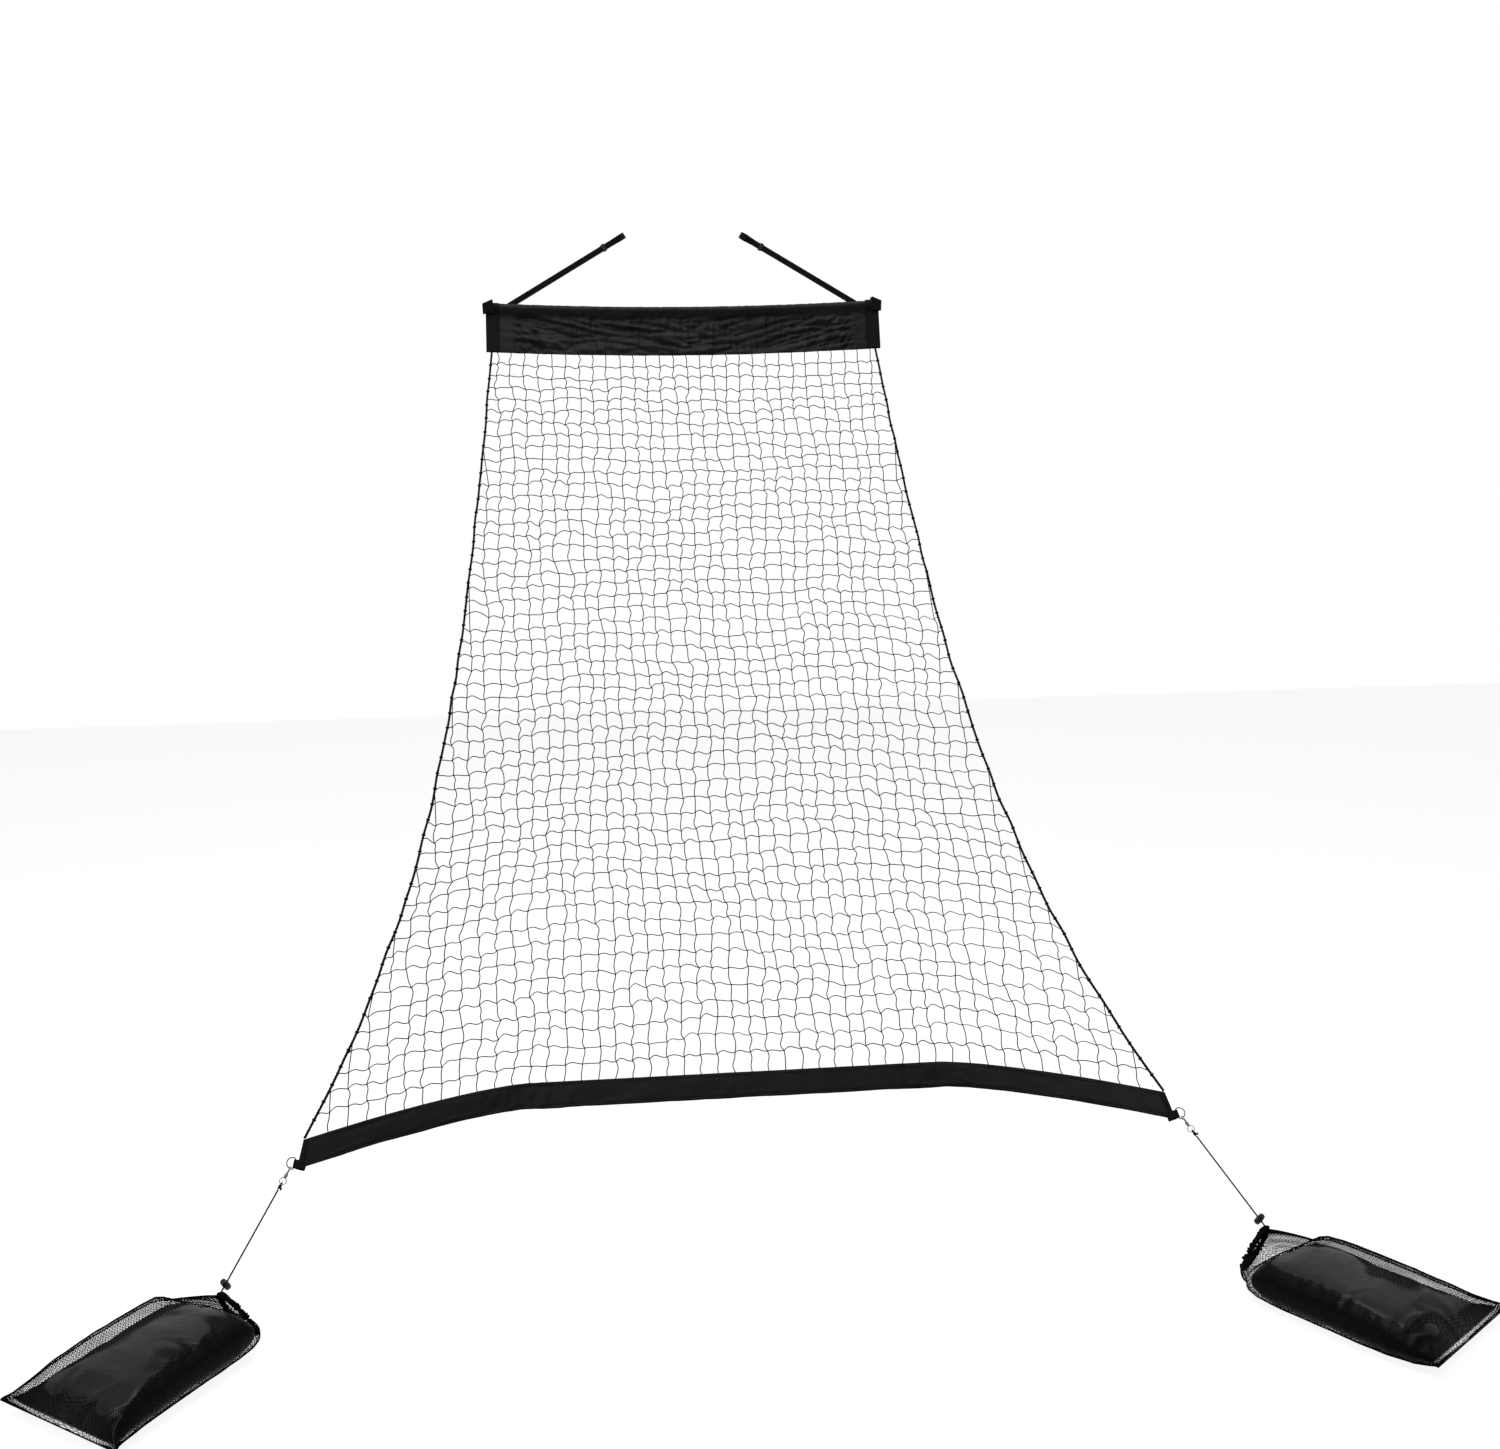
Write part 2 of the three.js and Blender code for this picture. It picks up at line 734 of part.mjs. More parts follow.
// The hook hangs from the wire of the D ring and points along the lead
function hookFrame(side) {
  const ring = ringFrame(side);
  const middle = new THREE.Vector3(ringLeg, 0, 0).applyMatrix4(ring);
  const flat = axisOf(ring, 2).multiplyScalar(side);
  const grip = mouthPoint(side).sub(middle).projectOnPlane(flat).setLength(ringRadius);
  const pull = mouthPoint(side).sub(middle.add(grip)).normalize();
  const wire = flat.cross(grip).projectOnPlane(pull);
  return frameOf(middle, pull, wire.cross(pull));
}

const crown = hookInside - ringWire - 2 * touchGap;
const hookOutside = hookInside + hookWall;
const barrelStart = hookShoulder - hookWall / 2;
const hookEnd = hookShoulder + barrelLength;

function makeHook() {
  const arc = (radius, from, to) => loopArc(radius, crown, 0, from, to);
  const plate = slab(outline([
    [hookShoulder, -barrelRadius], [hookThroat, -hookOutside],
    ...arc(hookOutside, Math.PI * 3 / 2, Math.PI / 2),
    [hookTip, hookOutside], [hookTip, hookInside],
    ...arc(hookInside, Math.PI / 2, Math.PI * 3 / 2),
    [hookThroat, -hookInside], [hookThroat, hookOutside],
    [gatePivot + gateEye, hookOutside], [hookShoulder, barrelRadius],
  ]), hookPlate);
  const barrel = turned([
    [barrelStart, 0], [barrelStart, barrelRadius], [hookEnd, barrelRadius], [hookEnd, 0],
  ], barrelSides);
  const stemHole = around(stemRadius + runningClearance, ringSides);
  const headHole = around(headRadius + headClearance, ringSides);
  const headEnd = headPlace + headLength;
  const hole = turned([
    [headPlace - headClearance, 0], [headPlace - headClearance, headHole], [headEnd + touchGap, headHole],
    [headEnd + touchGap, stemHole], [hookEnd + cutOverrun, stemHole], [hookEnd + cutOverrun, 0],
  ], ringSides);
  const eye = gateEye + gateSlotClearance;
  const slotLength = gatePivot + eye - hookThroat + cutOverrun;
  const slotHeight = hookOutside + cutOverrun;
  const slotWidth = gatePlate + 2 * gateSlotClearance + gateSpringWire;
  const slotX = hookThroat - cutOverrun + slotLength / 2;
  const slot = new THREE.BoxGeometry(slotLength, slotHeight, slotWidth);
  slot.translate(slotX, gateSide - eye + slotHeight / 2, gateSpringWire / 2);
  return cutBy(joined(plate, barrel), hole, slot, pinHole());
}

function pinAt(radius, length) {
  return slab(circle(radius, ringSides), length).translate(gatePivot, gateSide, 0);
}

function pinHole() {
  return pinAt(around(gatePinRadius + runningClearance, ringSides), hookPlate + 2 * cutOverrun);
}

// A flat lever from its pin up to the tip of the hook
function makeGate() {
  const [inner, outer] = [gateSide - gateWidth / 2, gateSide + gateWidth / 2];
  const eye = slab(circle(gateEye, ringSides), gatePlate).translate(gatePivot, gateSide, 0);
  const lever = slab(outline([
    [gatePivot, inner], [gatePivot, outer], [hookTip + touchGap, outer], [hookTip + touchGap, inner],
  ]), gatePlate);
  return cutBy(joined(eye, lever), pinHole());
}

function makeGateSpring() {
  const inside = around(gatePinRadius + 2 * runningClearance, ringSides);
  const shape = circle(inside + gateSpringWire, ringSides);
  shape.holes.push(circle(inside, ringSides));
  const lift = gatePlate / 2 + gateSlotClearance + gateSpringWire / 2 - runningClearance;
  return slab(shape, gateSpringWire).translate(gatePivot, gateSide, lift);
}

const swivelCentre = hookEnd + swivelStand + swivelRadius;
const ringFar = swivelCentre + swivelRadius;

function makeSwivel() {
  const ring = roundRing(swivelRadius, swivelWire, ringSteps, cordSides).rotateX(Math.PI / 2);
  ring.translate(swivelCentre, 0, 0);
  const headEnd = headPlace + headLength;
  const stem = turned([
    [headPlace, 0], [headPlace, headRadius], [headEnd, headRadius],
    [headEnd, stemRadius], [hookEnd + swivelStand, stemRadius], [hookEnd + swivelStand, 0],
  ], ringSides);
  return joined(ring, stem);
}

// The lead's end, looped round the swivel ring and knotted
const knotLoop = cordRadius + swivelWire + 2 * touchGap;
const knotStart = ringFar + knotLoop;
const knotEnd = knotStart + knotLength;

function makeKnot() {
  const loop = roundRing(knotLoop, cordRadius, ringSteps, cordSides).translate(ringFar, 0, 0);
  const bodyStart = knotStart - cordRadius / 2;
  const body = turned([
    [bodyStart, 0], [bodyStart, cordRadius], [knotStart + cordRadius, knotRadius],
    [knotEnd - knotLength / 2, knotRadius], [knotEnd, cordRadius], [knotEnd, 0],
  ], ringSides);
  const tails = [-1, 1].map((way) => {
    const tail = new THREE.CylinderGeometry(knotTailRadius, knotTailRadius, knotTail, cordSides);
    tail.translate(0, knotTail / 2, 0).rotateZ(-way * (Math.PI / 2 - knotTailAngle));
    if (way < 0) tail.rotateZ(Math.PI);
    return tail.rotateX(way * knotTailTwist).translate(knotStart + knotLength / 2, 0, 0);
  });
  return joined(loop, body, ...tails);
}

function leadLength(side) {
  const origin = new THREE.Vector3().setFromMatrixPosition(hookFrame(side));
  return mouthPoint(side).distanceTo(origin);
}

function makeLead(side) {
  const [start, end] = [knotEnd + touchGap, leadLength(side) + leadTuck];
  return tube([start, (start + end) / 2, end].map((x) => new THREE.Vector3(x, 0, 0)), cordRadius, cordSides);
}

// Cord locks

function lockFrame(side) {
  const hook = hookFrame(side);
  const pull = axisOf(hook, 0);
  const origin = mouthPoint(side).addScaledVector(pull, -lockPlace);
  return frameOf(origin, pull, zAxis.clone().cross(pull));
}

const lockBore = lockRadius - lockWall;
const buttonRadius = lockBore - touchGap;
const lockFloorTop = -lockFloor + lockWall;

function upright(points, sides) {
  const profile = points.map(([z, radius]) => new THREE.Vector2(radius, z));
  return new THREE.LatheGeometry(profile, sides).rotateX(Math.PI / 2);
}

function makeLock() {
  const bore = around(lockBore, barSides);
  const barrel = upright([
    [-lockFloor, 0], [-lockFloor, lockRadius], [lockTop, lockRadius],
    [lockTop, bore], [lockFloorTop, bore], [lockFloorTop, 0],
  ], barSides);
  const holeLength = 2 * (lockRadius + cutOverrun);
  const hole = slab(circle(around(cordRadius + cordClearance, cordSides), cordSides), holeLength);
  return cutBy(barrel, hole.rotateY(Math.PI / 2));
}

function makeButton() {
  const shoulder = lockTop + buttonTravel + touchGap;
  const top = shoulder + buttonHead;
  const button = upright([
    [-buttonFoot, 0], [-buttonFoot, buttonRadius], [shoulder, buttonRadius],
    [shoulder, buttonHeadRadius], [top, buttonHeadRadius], [top, 0],
  ], barSides);
  const width = 2 * (cordRadius + cordClearance);
  const slot = new THREE.BoxGeometry(2 * (lockRadius + cutOverrun), width, width + buttonTravel);
  return cutBy(button, slot.translate(0, 0, buttonTravel / 2));
}

function makeLockSpring() {
  const [inside, outside] = [buttonRadius - lockSpringWire, buttonRadius];
  const [low, high] = [lockFloorTop + touchGap, lockFloorTop + touchGap + lockSpringHeight];
  return upright([[low, inside], [low, outside], [high, outside], [high, inside], [low, inside]], barSides);
}

function makeHardware() {
  for (const side of [-1, 1]) {
    const [ring, hook, lock] = [ringFrame(side), hookFrame(side), lockFrame(side)];
    place(sideName('hem_tab', side), makeTab(), finishes.webbing, ring);
    place(sideName('d_ring', side), makeRing(), finishes.nickel, ring);
    place(sideName('snap_hook', side), makeHook(), finishes.nickel, hook);
    place(sideName('hook_gate', side), makeGate(), finishes.nickel, hook);
    place(sideName('gate_pin', side), pinAt(gatePinRadius, hookPlate), finishes.nickel, hook);
    place(sideName('gate_spring', side), makeGateSpring(), finishes.nickel, hook);
    place(sideName('swivel_ring', side), makeSwivel(), finishes.nickel, hook);
    place(sideName('lead_knot', side), makeKnot(), finishes.twine, hook);
    place(sideName('lead_cord', side), makeLead(side), finishes.twine, hook);
    place(sideName('cord_lock', side), makeLock(), finishes.moulded, lock);
    place(sideName('lock_button', side), makeButton(), finishes.moulded, lock);
    place(sideName('lock_spring', side), makeLockSpring(), finishes.nickel, lock);
  }
}

// Bags. A bag's own frame has its first axis from the mouth to the far seam and its second outwards.

function bagPoint(side, along, outward, height) {
  const [sin, cos] = [Math.sin(bagTurn), Math.cos(bagTurn)];
  return new THREE.Vector3(
    side * (mouthX + along * sin + outward * cos),
    -mouthForward - along * cos + outward * sin,
    height - groundDrop,
  );
}

function rounded(value, share) {
  return Math.sign(value) * Math.abs(value) ** share;
}

// One ring of a bag, a given distance outside the sand bag
function bagRing(side, station, offset, slack) {
  const lift = meshClearance + meshWall;
  const half = sandHalfWidth * sandWidthShares[station] + offset;
  const top = lift + sandHeight * sandTopShares[station] + offset;
  const bottom = lift - restFlat + sandHeight * sandBottomShares[station] - offset;
  const inward = side < 0 ? leftSandInward : rightSandInward;
  const start = side < 0 ? leftSandStart : rightSandStart;
  const centre = -inward * sandCentreShares[station];
  const share = sandStationShares[station];
  const points = [];
  for (let i = 0; i < bagSides; i += 1) {
    const angle = 2 * Math.PI * i / bagSides;
    const [cos, sin] = [Math.cos(angle), Math.sin(angle)];
    const outer = Math.max(0, cos) ** slackPowerShare;
    const height = (top + bottom) / 2 + (top - bottom) / 2 * rounded(sin, crownRoundShare);
    const slumped = height - outer * meshSlumpShare * slack;
    const floor = lift - offset;
    const outward = centre + half * rounded(cos, sideRoundShare) + outer * slack;
    const along = start + sandLength * share - sandSkewShare * outward * share * share;
    points.push(bagPoint(side, along, outward, Math.max(floor, slumped)));
  }
  return points;
}

function endRing(ring, along) {
  return ring.map((point) => point.clone().add(along));
}

function makeSandBag(side) {
  const rings = sandStationShares.map((share, station) => bagRing(side, station, 0, 0));
  return skin(rings);
}

// The mouth of a mesh bag is a slit that the draw cord gathers
function slitPoint(side, angle, offset, setback) {
  const [cos, sin] = [Math.cos(angle), Math.sin(angle)];
  const long = slitHalfLength + offset;
  const wide = slitHalfWidth + offset;
  const drop = touchGap + 2 * cordRadius;
  const inward = slitHalfLength - long * cos;
  return bagPoint(
    side,
    drop + slitReach / 2 * (1 - cos) + setback,
    -inward - drop,
    mouthHeight - drop - inward * slitRise / slitHalfLength + wide * sin,
  );
}

function slitRing(side, offset, setback) {
  const points = [];
  for (let i = 0; i < bagSides; i += 1) {
    points.push(slitPoint(side, 2 * Math.PI * i / bagSides, offset, setback));
  }
  return points;
}

// A ring between the neck and the sand bag, where the mesh spreads before it runs on
function shoulderRing(side, neck, body) {
  const ahead = bagPoint(side, 1, 0, 0).sub(bagPoint(side, 0, 0, 0));
  return neck.map((point, i) => {
    const way = body[i].clone().sub(point);
    const along = ahead.clone().multiplyScalar(way.dot(ahead));
    const spread = way.sub(along).multiplyScalar(shoulderSpreadShare);
    return point.clone().addScaledVector(along, shoulderAlongShare).add(spread);
  });
}

function makeMeshBag(side) {
  const stations = sandStationShares.map((share, station) => station);
  const slacks = stations.map((station) => meshSlack * sandCentreShares[station]);
  const wall = (offset, end) => {
    const rings = stations.map((station) => bagRing(side, station, offset, slacks[station]));
    const last = rings[rings.length - 1];
    const beyond = bagPoint(side, end, 0, 0).sub(bagPoint(side, 0, 0, 0));
    const neck = [0, neckLength].map((setback) => slitRing(side, offset - meshClearance, setback));
    return [...neck, shoulderRing(side, neck[1], rings[0]), ...rings, endRing(last, beyond)];
  };
  const outer = wall(meshClearance + meshWall, meshEnd);
  const inner = wall(meshClearance, meshEnd - meshWall);
  // Both walls are split along the same diagonals, so they stay clear of each other
  return skin([...outer.reverse(), ...inner], inner.length);
}

function makeDrawCord(side) {
  const offset = meshWall + cordRadius + 4 * cordClearance;
  const step = 2 * Math.PI / bagSides;
  const angles = Array.from({ length: bagSides - 1 }, (empty, i) => step * (i + 1));
  const turns = [step * drawEndShare, ...angles, -step * drawEndShare];
  const points = turns.map((angle) => slitPoint(side, angle, offset, neckLength / 2));
  return tube(points, cordRadius, cordSides);
}

function makeBags() {
  for (const side of [-1, 1]) {
    place(sideName('sand_bag', side), makeSandBag(side), finishes.vinyl);
    place(sideName('mesh_bag', side), makeMeshBag(side), finishes.mesh);
    place(sideName('draw_cord', side), makeDrawCord(side), finishes.twine);
  }
}

makeBar();
makeSleeve();
makeStraps();
makeNet();
makeRopes();
makeHem();
makeHardware();
makeBags();

export default root;
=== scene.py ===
"""Dresses the frame of a ball return net: cloth, webbing, netting, cords, plated fittings and sand bags.

Metres. X runs to the right, Y away from the player and Z up, from midway between the two strap loops.
"""

import math
import random
from collections import namedtuple

import bmesh
import bpy
import numpy as np
from bpy.props import FloatProperty, FloatVectorProperty, IntProperty, PointerProperty
from mathutils import Matrix, Vector, noise


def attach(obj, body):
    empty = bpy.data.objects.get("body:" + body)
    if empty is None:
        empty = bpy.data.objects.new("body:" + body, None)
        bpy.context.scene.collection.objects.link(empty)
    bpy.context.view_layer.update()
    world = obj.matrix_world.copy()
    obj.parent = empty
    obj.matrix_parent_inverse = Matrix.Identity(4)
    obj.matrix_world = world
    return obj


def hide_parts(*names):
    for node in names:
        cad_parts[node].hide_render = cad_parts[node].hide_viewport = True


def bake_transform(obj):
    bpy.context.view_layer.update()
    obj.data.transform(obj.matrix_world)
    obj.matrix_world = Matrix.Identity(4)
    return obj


bl_info = {
    "name": "Ball Return Net",
    "version": (1, 0, 0),
    "blender": (4, 5, 0),
    "location": "View3D > Sidebar > Return Net",
    "description": "Models a ball return net with its sleeve, straps, netting, hem, fittings and sand bags",
    "category": "Add Mesh",
}

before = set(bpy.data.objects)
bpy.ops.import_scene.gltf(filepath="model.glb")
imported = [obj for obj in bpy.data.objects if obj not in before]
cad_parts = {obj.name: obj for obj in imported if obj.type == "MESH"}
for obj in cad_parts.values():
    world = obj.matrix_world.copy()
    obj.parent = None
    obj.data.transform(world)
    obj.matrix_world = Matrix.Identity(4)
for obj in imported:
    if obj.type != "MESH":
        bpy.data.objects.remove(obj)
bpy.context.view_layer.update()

SIDES = {"left": -1, "right": 1}
FULL_TURN = 2 * math.pi
PHOTO_WIDTH = 1500
PHOTO_HEIGHT = 1449
WOBBLE_SEED = 7


# Values that a user would change


def length(name, description, default):
    return FloatProperty(name=name, description=description, default=default, unit="LENGTH", precision=4)


def angle(name, description, degrees):
    return FloatProperty(name=name, description=description, default=math.radians(degrees), subtype="ANGLE")


def share(name, description, default):
    return FloatProperty(name=name, description=description, default=default, subtype="FACTOR")


def linear(code):
    """A colour written as sRGB hex, in the linear values that Blender works in."""
    parts = [(code >> shift & 255) / 255 for shift in (16, 8, 0)]
    return [part / 12.92 if part <= 0.04045 else ((part + 0.055) / 1.055) ** 2.4 for part in parts] + [1.0]


def colour(name, description, code):
    return FloatVectorProperty(
        name=name, description=description, default=linear(code), size=4, min=0, max=1, subtype="COLOR"
    )


class BarSizes(bpy.types.PropertyGroup):
    """The bar that the sleeve hangs on, as the frame has it"""

    forward: length("Forward", "From the strap loops forward to the middle of the bar", 0.014)
    drop: length("Drop", "From the strap loops down to the ends of the bar", 0.234)
    bow: length("Bow", "How far the middle of the bar hangs below its ends", 0.018)
    half_length: length("Half length", "From the middle of the bar to its end", 0.661)


class SleeveSizes(bpy.types.PropertyGroup):
    """The cloth sleeve, its end bands and the pockets over the bar's ends"""

    radius: length("Radius", "Of the round part over the bar", 0.0129)
    reach: length("Reach", "From the middle of the bar down to the lower edge", 0.1551)
    gap: length("Layer gap", "Half the distance between its two layers", 0.0012)
    half_length: length("Half length", "From its middle to its end", 0.616)
    tilt: angle("Tilt", "How far the skirt is pulled forward", 14)
    cloth: length("Cloth", "Thickness of the woven cloth", 0.0006)
    fold_depth: length("Fold depth", "Height of the longest creases", 0.013)
    fold_pitch: length("Fold pitch", "Distance from crease to crease", 0.026)
    fold_climb: share("Fold climb", "Slope of the creases towards the ends", 0.17)
    pucker_pitch: length("Pucker pitch", "Distance between the small upright puckers under the bar", 0.012)
    band_length: length("Band length", "Of the end bands, along the bar", 0.0425)
    band_proud: length("Band proud", "How far an end band stands off the sleeve", 0.0008)
    pocket_length: length("Pocket length", "Along the bar", 0.035)
    pocket_height: length("Pocket height", "Up and down", 0.046)
    pocket_half: length("Pocket half depth", "From the bar's middle out to the webbing's middle", 0.0153)
    pocket_tilt: angle("Pocket tilt", "Of the pocket's end, out of square", 3)
    pocket_slant: angle("Pocket slant", "Of its upper edge, which rises inwards", 20)
    pocket_end: length("Pocket end", "From the bar's end out to the middle of the webbing", 0.0068)
    pocket_corner: length("Pocket corner", "Radius of its fold", 0.0055)
    webbing: length("Webbing", "Thickness of the pocket's webbing", 0.0022)


class StrapSizes(bpy.types.PropertyGroup):
    """The hanging straps"""

    half_spacing: length("Half spacing", "From the middle to a loop's top", 0.195)
    foot_x: length("Foot", "Where a strap crosses the bar, from the middle", 0.587)
    foot_tail: length("Foot tail", "How far a strap runs on past the bar", 0.015)
    width: length("Width", "Of the webbing", 0.020)
    thickness: length("Thickness", "Of the webbing", 0.0016)
    loop_radius: length("Loop radius", "To the middle of the webbing", 0.0158)
    loop_opening: angle("Loop opening", "Half the angle where the loop's two legs leave it", 60)
    neck: length("Neck", "From the top of the loop to where its layers meet", 0.05)
    doubled: length("Doubled length", "From the top of the loop to the end of the second layer", 0.125)


class NetSizes(bpy.types.PropertyGroup):
    """The netting and its border ropes"""

    top_half: length("Top half width", "Along the sleeve", 0.636)
    spread: length("Spread", "Width that each side gains evenly towards the hem", 0.2)
    end_gap: length("End gap", "From the rope at the net's edge to the end of the hem", 0.0003)
    flare_power: IntProperty(name="Flare power", description="How late the flare comes", default=4)
    cut_flare_share: share("Cut flare", "Share of the flare that is cut in, and not stretched", 0.85)
    sag: length("Sag", "How far the middle droops", 0.117)
    reach: length("Reach", "From the bar down the skirt to the top of the net", 0.1581)
    hem_gap: length("Hem gap", "From the lowest row down to the hem", 0.002)
    mesh: length("Mesh", "Distance from knot to knot", 0.04445)
    rows: IntProperty(name="Rows", description="Number of rows of meshes, from sleeve to hem", default=52)
    twine: length("Twine", "Diameter of the twine", 0.0028)
    knot: length("Knot", "Diameter of a knot", 0.0058)
    rope: length("Rope", "Diameter of a border rope", 0.0076)
    rope_gap: length("Rope gap", "From the net's edge to the middle of its rope", 0.0053)
    rope_pitch: length("Rope pitch", "Length of one turn of the rope's strands", 0.026)


class HemSizes(bpy.types.PropertyGroup):
    """The band along the lower edge of the net"""

    half_width: length("Half width", "From the middle to a corner", 1.118)
    forward: length("Forward", "From the loops to the middle of its top edge", 1.365)
    corner_forward: length("Corner forward", "How much further forward its corners are", 0.245)
    drop: length("Drop", "From the loops down to the middle of its top edge", 2.396)
    corner_drop: length("Corner drop", "How much lower its corners are", 0.029)
    height: length("Height", "In the middle", 0.07)
    corner_height: length("Corner height", "How much taller its ends are", 0.009)
    lean: angle("Lean", "Of its lower edge forward, in the middle", 36)
    corner_lean: angle("Corner lean", "How much more its ends lean", 12)
    slant: length("Slant", "How much longer its lower edge is, at each end", 0.011)
    half_thickness: length("Half thickness", "Of its folded layers", 0.0025)
    cloth: length("Cloth", "Thickness of the woven cloth", 0.0006)
    bend_share: share("Bend starts", "Share of the half width where it starts to bend forward", 0.5)
    bend_power: FloatProperty(name="Bend power", description="How gently the bend starts", default=1.4)
    sewn_end: length("Sewn end", "How far the band is held flat at its ends", 0.024)
    pucker_left: length("Left pucker", "Where the band is gathered, left of the middle", -0.555)
    pucker_right: length("Right pucker", "Where the band is gathered, right of the middle", 0.54)
    pucker_span: length("Pucker span", "How wide a gathered place is", 0.11)


class FittingSizes(bpy.types.PropertyGroup):
    """Rings, hooks and the knot at a corner of the hem"""

    tab_rise: length("Tab rise", "From the hem's lower corner up to the tab's middle", 0.013)
    tab_reach: length("Tab reach", "From the hem's end out to the ring's bar", 0.009)
    tab_width: length("Tab width", "Of the webbing", 0.022)
    tab: length("Tab", "Thickness of the webbing", 0.0014)
    tab_leg: length("Tab leg", "How far a tab lies on the hem", 0.02)
    ring_radius: length("Ring radius", "To the middle of the D ring's wire", 0.015)
    ring_leg: length("Ring leg", "Straight part of each side of the D", 0.004)
    ring_wire: length("Ring wire", "Diameter of the D ring's wire", 0.003)
    swivel_centre: length("Swivel centre", "From the ring's wire to the middle of the swivel ring", 0.035)
    swivel_radius: length("Swivel radius", "To the middle of its wire", 0.0085)
    swivel_wire: length("Swivel wire", "Diameter of its wire", 0.0022)
    stem_radius: length("Stem radius", "Of the swivel's stem", 0.0013)
    head_radius: length("Head radius", "Of the head that keeps the stem in the barrel", 0.0026)
    head_place: length("Head place", "From the ring's wire to the stem's head", 0.019)
    head_length: length("Head length", "Of the stem's head", 0.0015)


class LeadSizes(bpy.types.PropertyGroup):
    """The lead from the hook to the bag, and its lock"""

    cord: length("Cord", "Diameter of the lead and the draw cord", 0.004)
    start: length("Start", "From the ring's wire to where the lead leaves its knot", 0.0585)
    tuck: length("Tuck", "How far the lead runs on past the bag's mouth", 0.0093)
    knot_start: length("Knot start", "From the ring's wire to the knot", 0.0472)
    knot_length: length("Knot length", "Along the lead", 0.011)
    knot_tail: length("Knot tail", "Length of the knot's two ends", 0.0125)
    lock_place: length("Lock place", "From the bag's mouth up the lead", 0.022)
    lock_radius: length("Lock radius", "Of its barrel", 0.008)
    lock_wall: length("Lock wall", "Of its barrel", 0.0022)
    lock_top: length("Lock top", "From the cord up to the rim of the barrel", 0.009)
    lock_floor: length("Lock floor", "From the cord down to the bottom of the barrel", 0.014)
    button_lift: length("Button lift", "From the rim up to the underside of the button's head", 0.0033)
    button_head: length("Button head", "Thickness of the button's head", 0.0024)
    button_radius: length("Button radius", "Of the button's head", 0.007)


class BagSizes(bpy.types.PropertyGroup):
    """The sand bags and the mesh bags round them"""

    mouth_x: length("Mouth across", "From the middle to a bag's mouth", 1.283)
    mouth_forward: length("Mouth forward", "From the loops to a bag's mouth", 1.891)
    mouth_height: length("Mouth height", "Above the ground", 0.09)
    ground: length("Ground", "From the strap loops down to the ground", 2.77)
    turn: angle("Turn", "Of a bag outwards, from straight ahead", 30.5)
    start_left: length("Left start", "From the mouth to the near end of the left sand bag", 0.05)
    start_right: length("Right start", "From the mouth to the near end of the right sand bag", 0.105)
    inward_left: length("Left inward", "From the mouth inwards to the middle of the left sand bag", 0.031)
    inward_right: length("Right inward", "From the mouth inwards to the middle of the right sand bag", 0.085)
    sand_length: length("Sand length", "Of the sand bag", 0.465)
    half_width: length("Half width", "Of the sand bag", 0.138)
    height: length("Height", "Of the sand bag", 0.1)
    skew: share("Skew", "How far the far seam is out of square", 0.17)
    lift: length("Lift", "From the ground to the sand bag", 0.0042)
    skin: length("Skin", "From the sand bag to the mesh", 0.0036)
    slack: length("Slack", "Spare mesh on the outer side", 0.028)
    tent: length("Tent", "How far the spare mesh stands up, as it is stretched from the mouth", 0.019)
    seam: length("Seam", "From the sand bag's far end to the mesh bag's seam", 0.008)
    thread: length("Thread", "Diameter of the mesh's thread", 0.0011)
    pitch: length("Pitch", "Distance from thread to thread", 0.006)
    slit_half: length("Slit half length", "Of the gathered mouth", 0.061)
    slit_width: length("Slit half width", "Of the gathered mouth", 0.0105)
    slit_reach: length("Slit reach", "How much further on the far end of the mouth lies", 0.028)
    slit_rise: length("Slit rise", "How much the mouth drops from its middle to its far end", 0.024)
    slit_drop: length("Slit drop", "From the mouth's corner, where the lead enters, to the slit", 0.0043)
    neck: length("Neck", "Width of the casing for the draw cord", 0.009)
    pleat: length("Pleat", "Distance from pleat to pleat round the mouth", 0.009)
    pleat_depth: length("Pleat depth", "Of the gathered mouth", 0.0034)
    casing: length("Casing", "Half the thickness of the casing over the draw cord", 0.0058)
    binding: length("Binding", "Thickness of the bound seams", 0.0032)
    looseness: length("Looseness", "How far the mesh stands off the sand bag in places", 0.003)
    voxel: length("Voxel", "Size of the mesh that the filling swells", 0.006)


class Finishes(bpy.types.PropertyGroup):
    """Colours of the object"""

    sleeve: colour("Sleeve cloth", "Black woven nylon", 0x141215)
    hem: colour("Hem cloth", "Black woven nylon, a little flatter", 0x0D0B0E)
    webbing: colour("Webbing", "Black polyester webbing", 0x0D0B0C)
    twine: colour("Twine", "Black nylon twine", 0x131214)
    cord: colour("Cord", "Black braided cord", 0x0C0B0C)
    vinyl: colour("Vinyl", "Black sand bag", 0x050409)
    mesh: colour("Mesh", "Black knitted mesh", 0x060506)
    nickel: colour("Nickel", "Plated fittings", 0x5E5D60)
    dark_nickel: colour("Dark nickel", "Plated D rings", 0x414043)
    steel: colour("Steel", "Powder coated bar", 0x2A2A2C)
    moulded: colour("Moulded", "Moulded nylon", 0x151416)


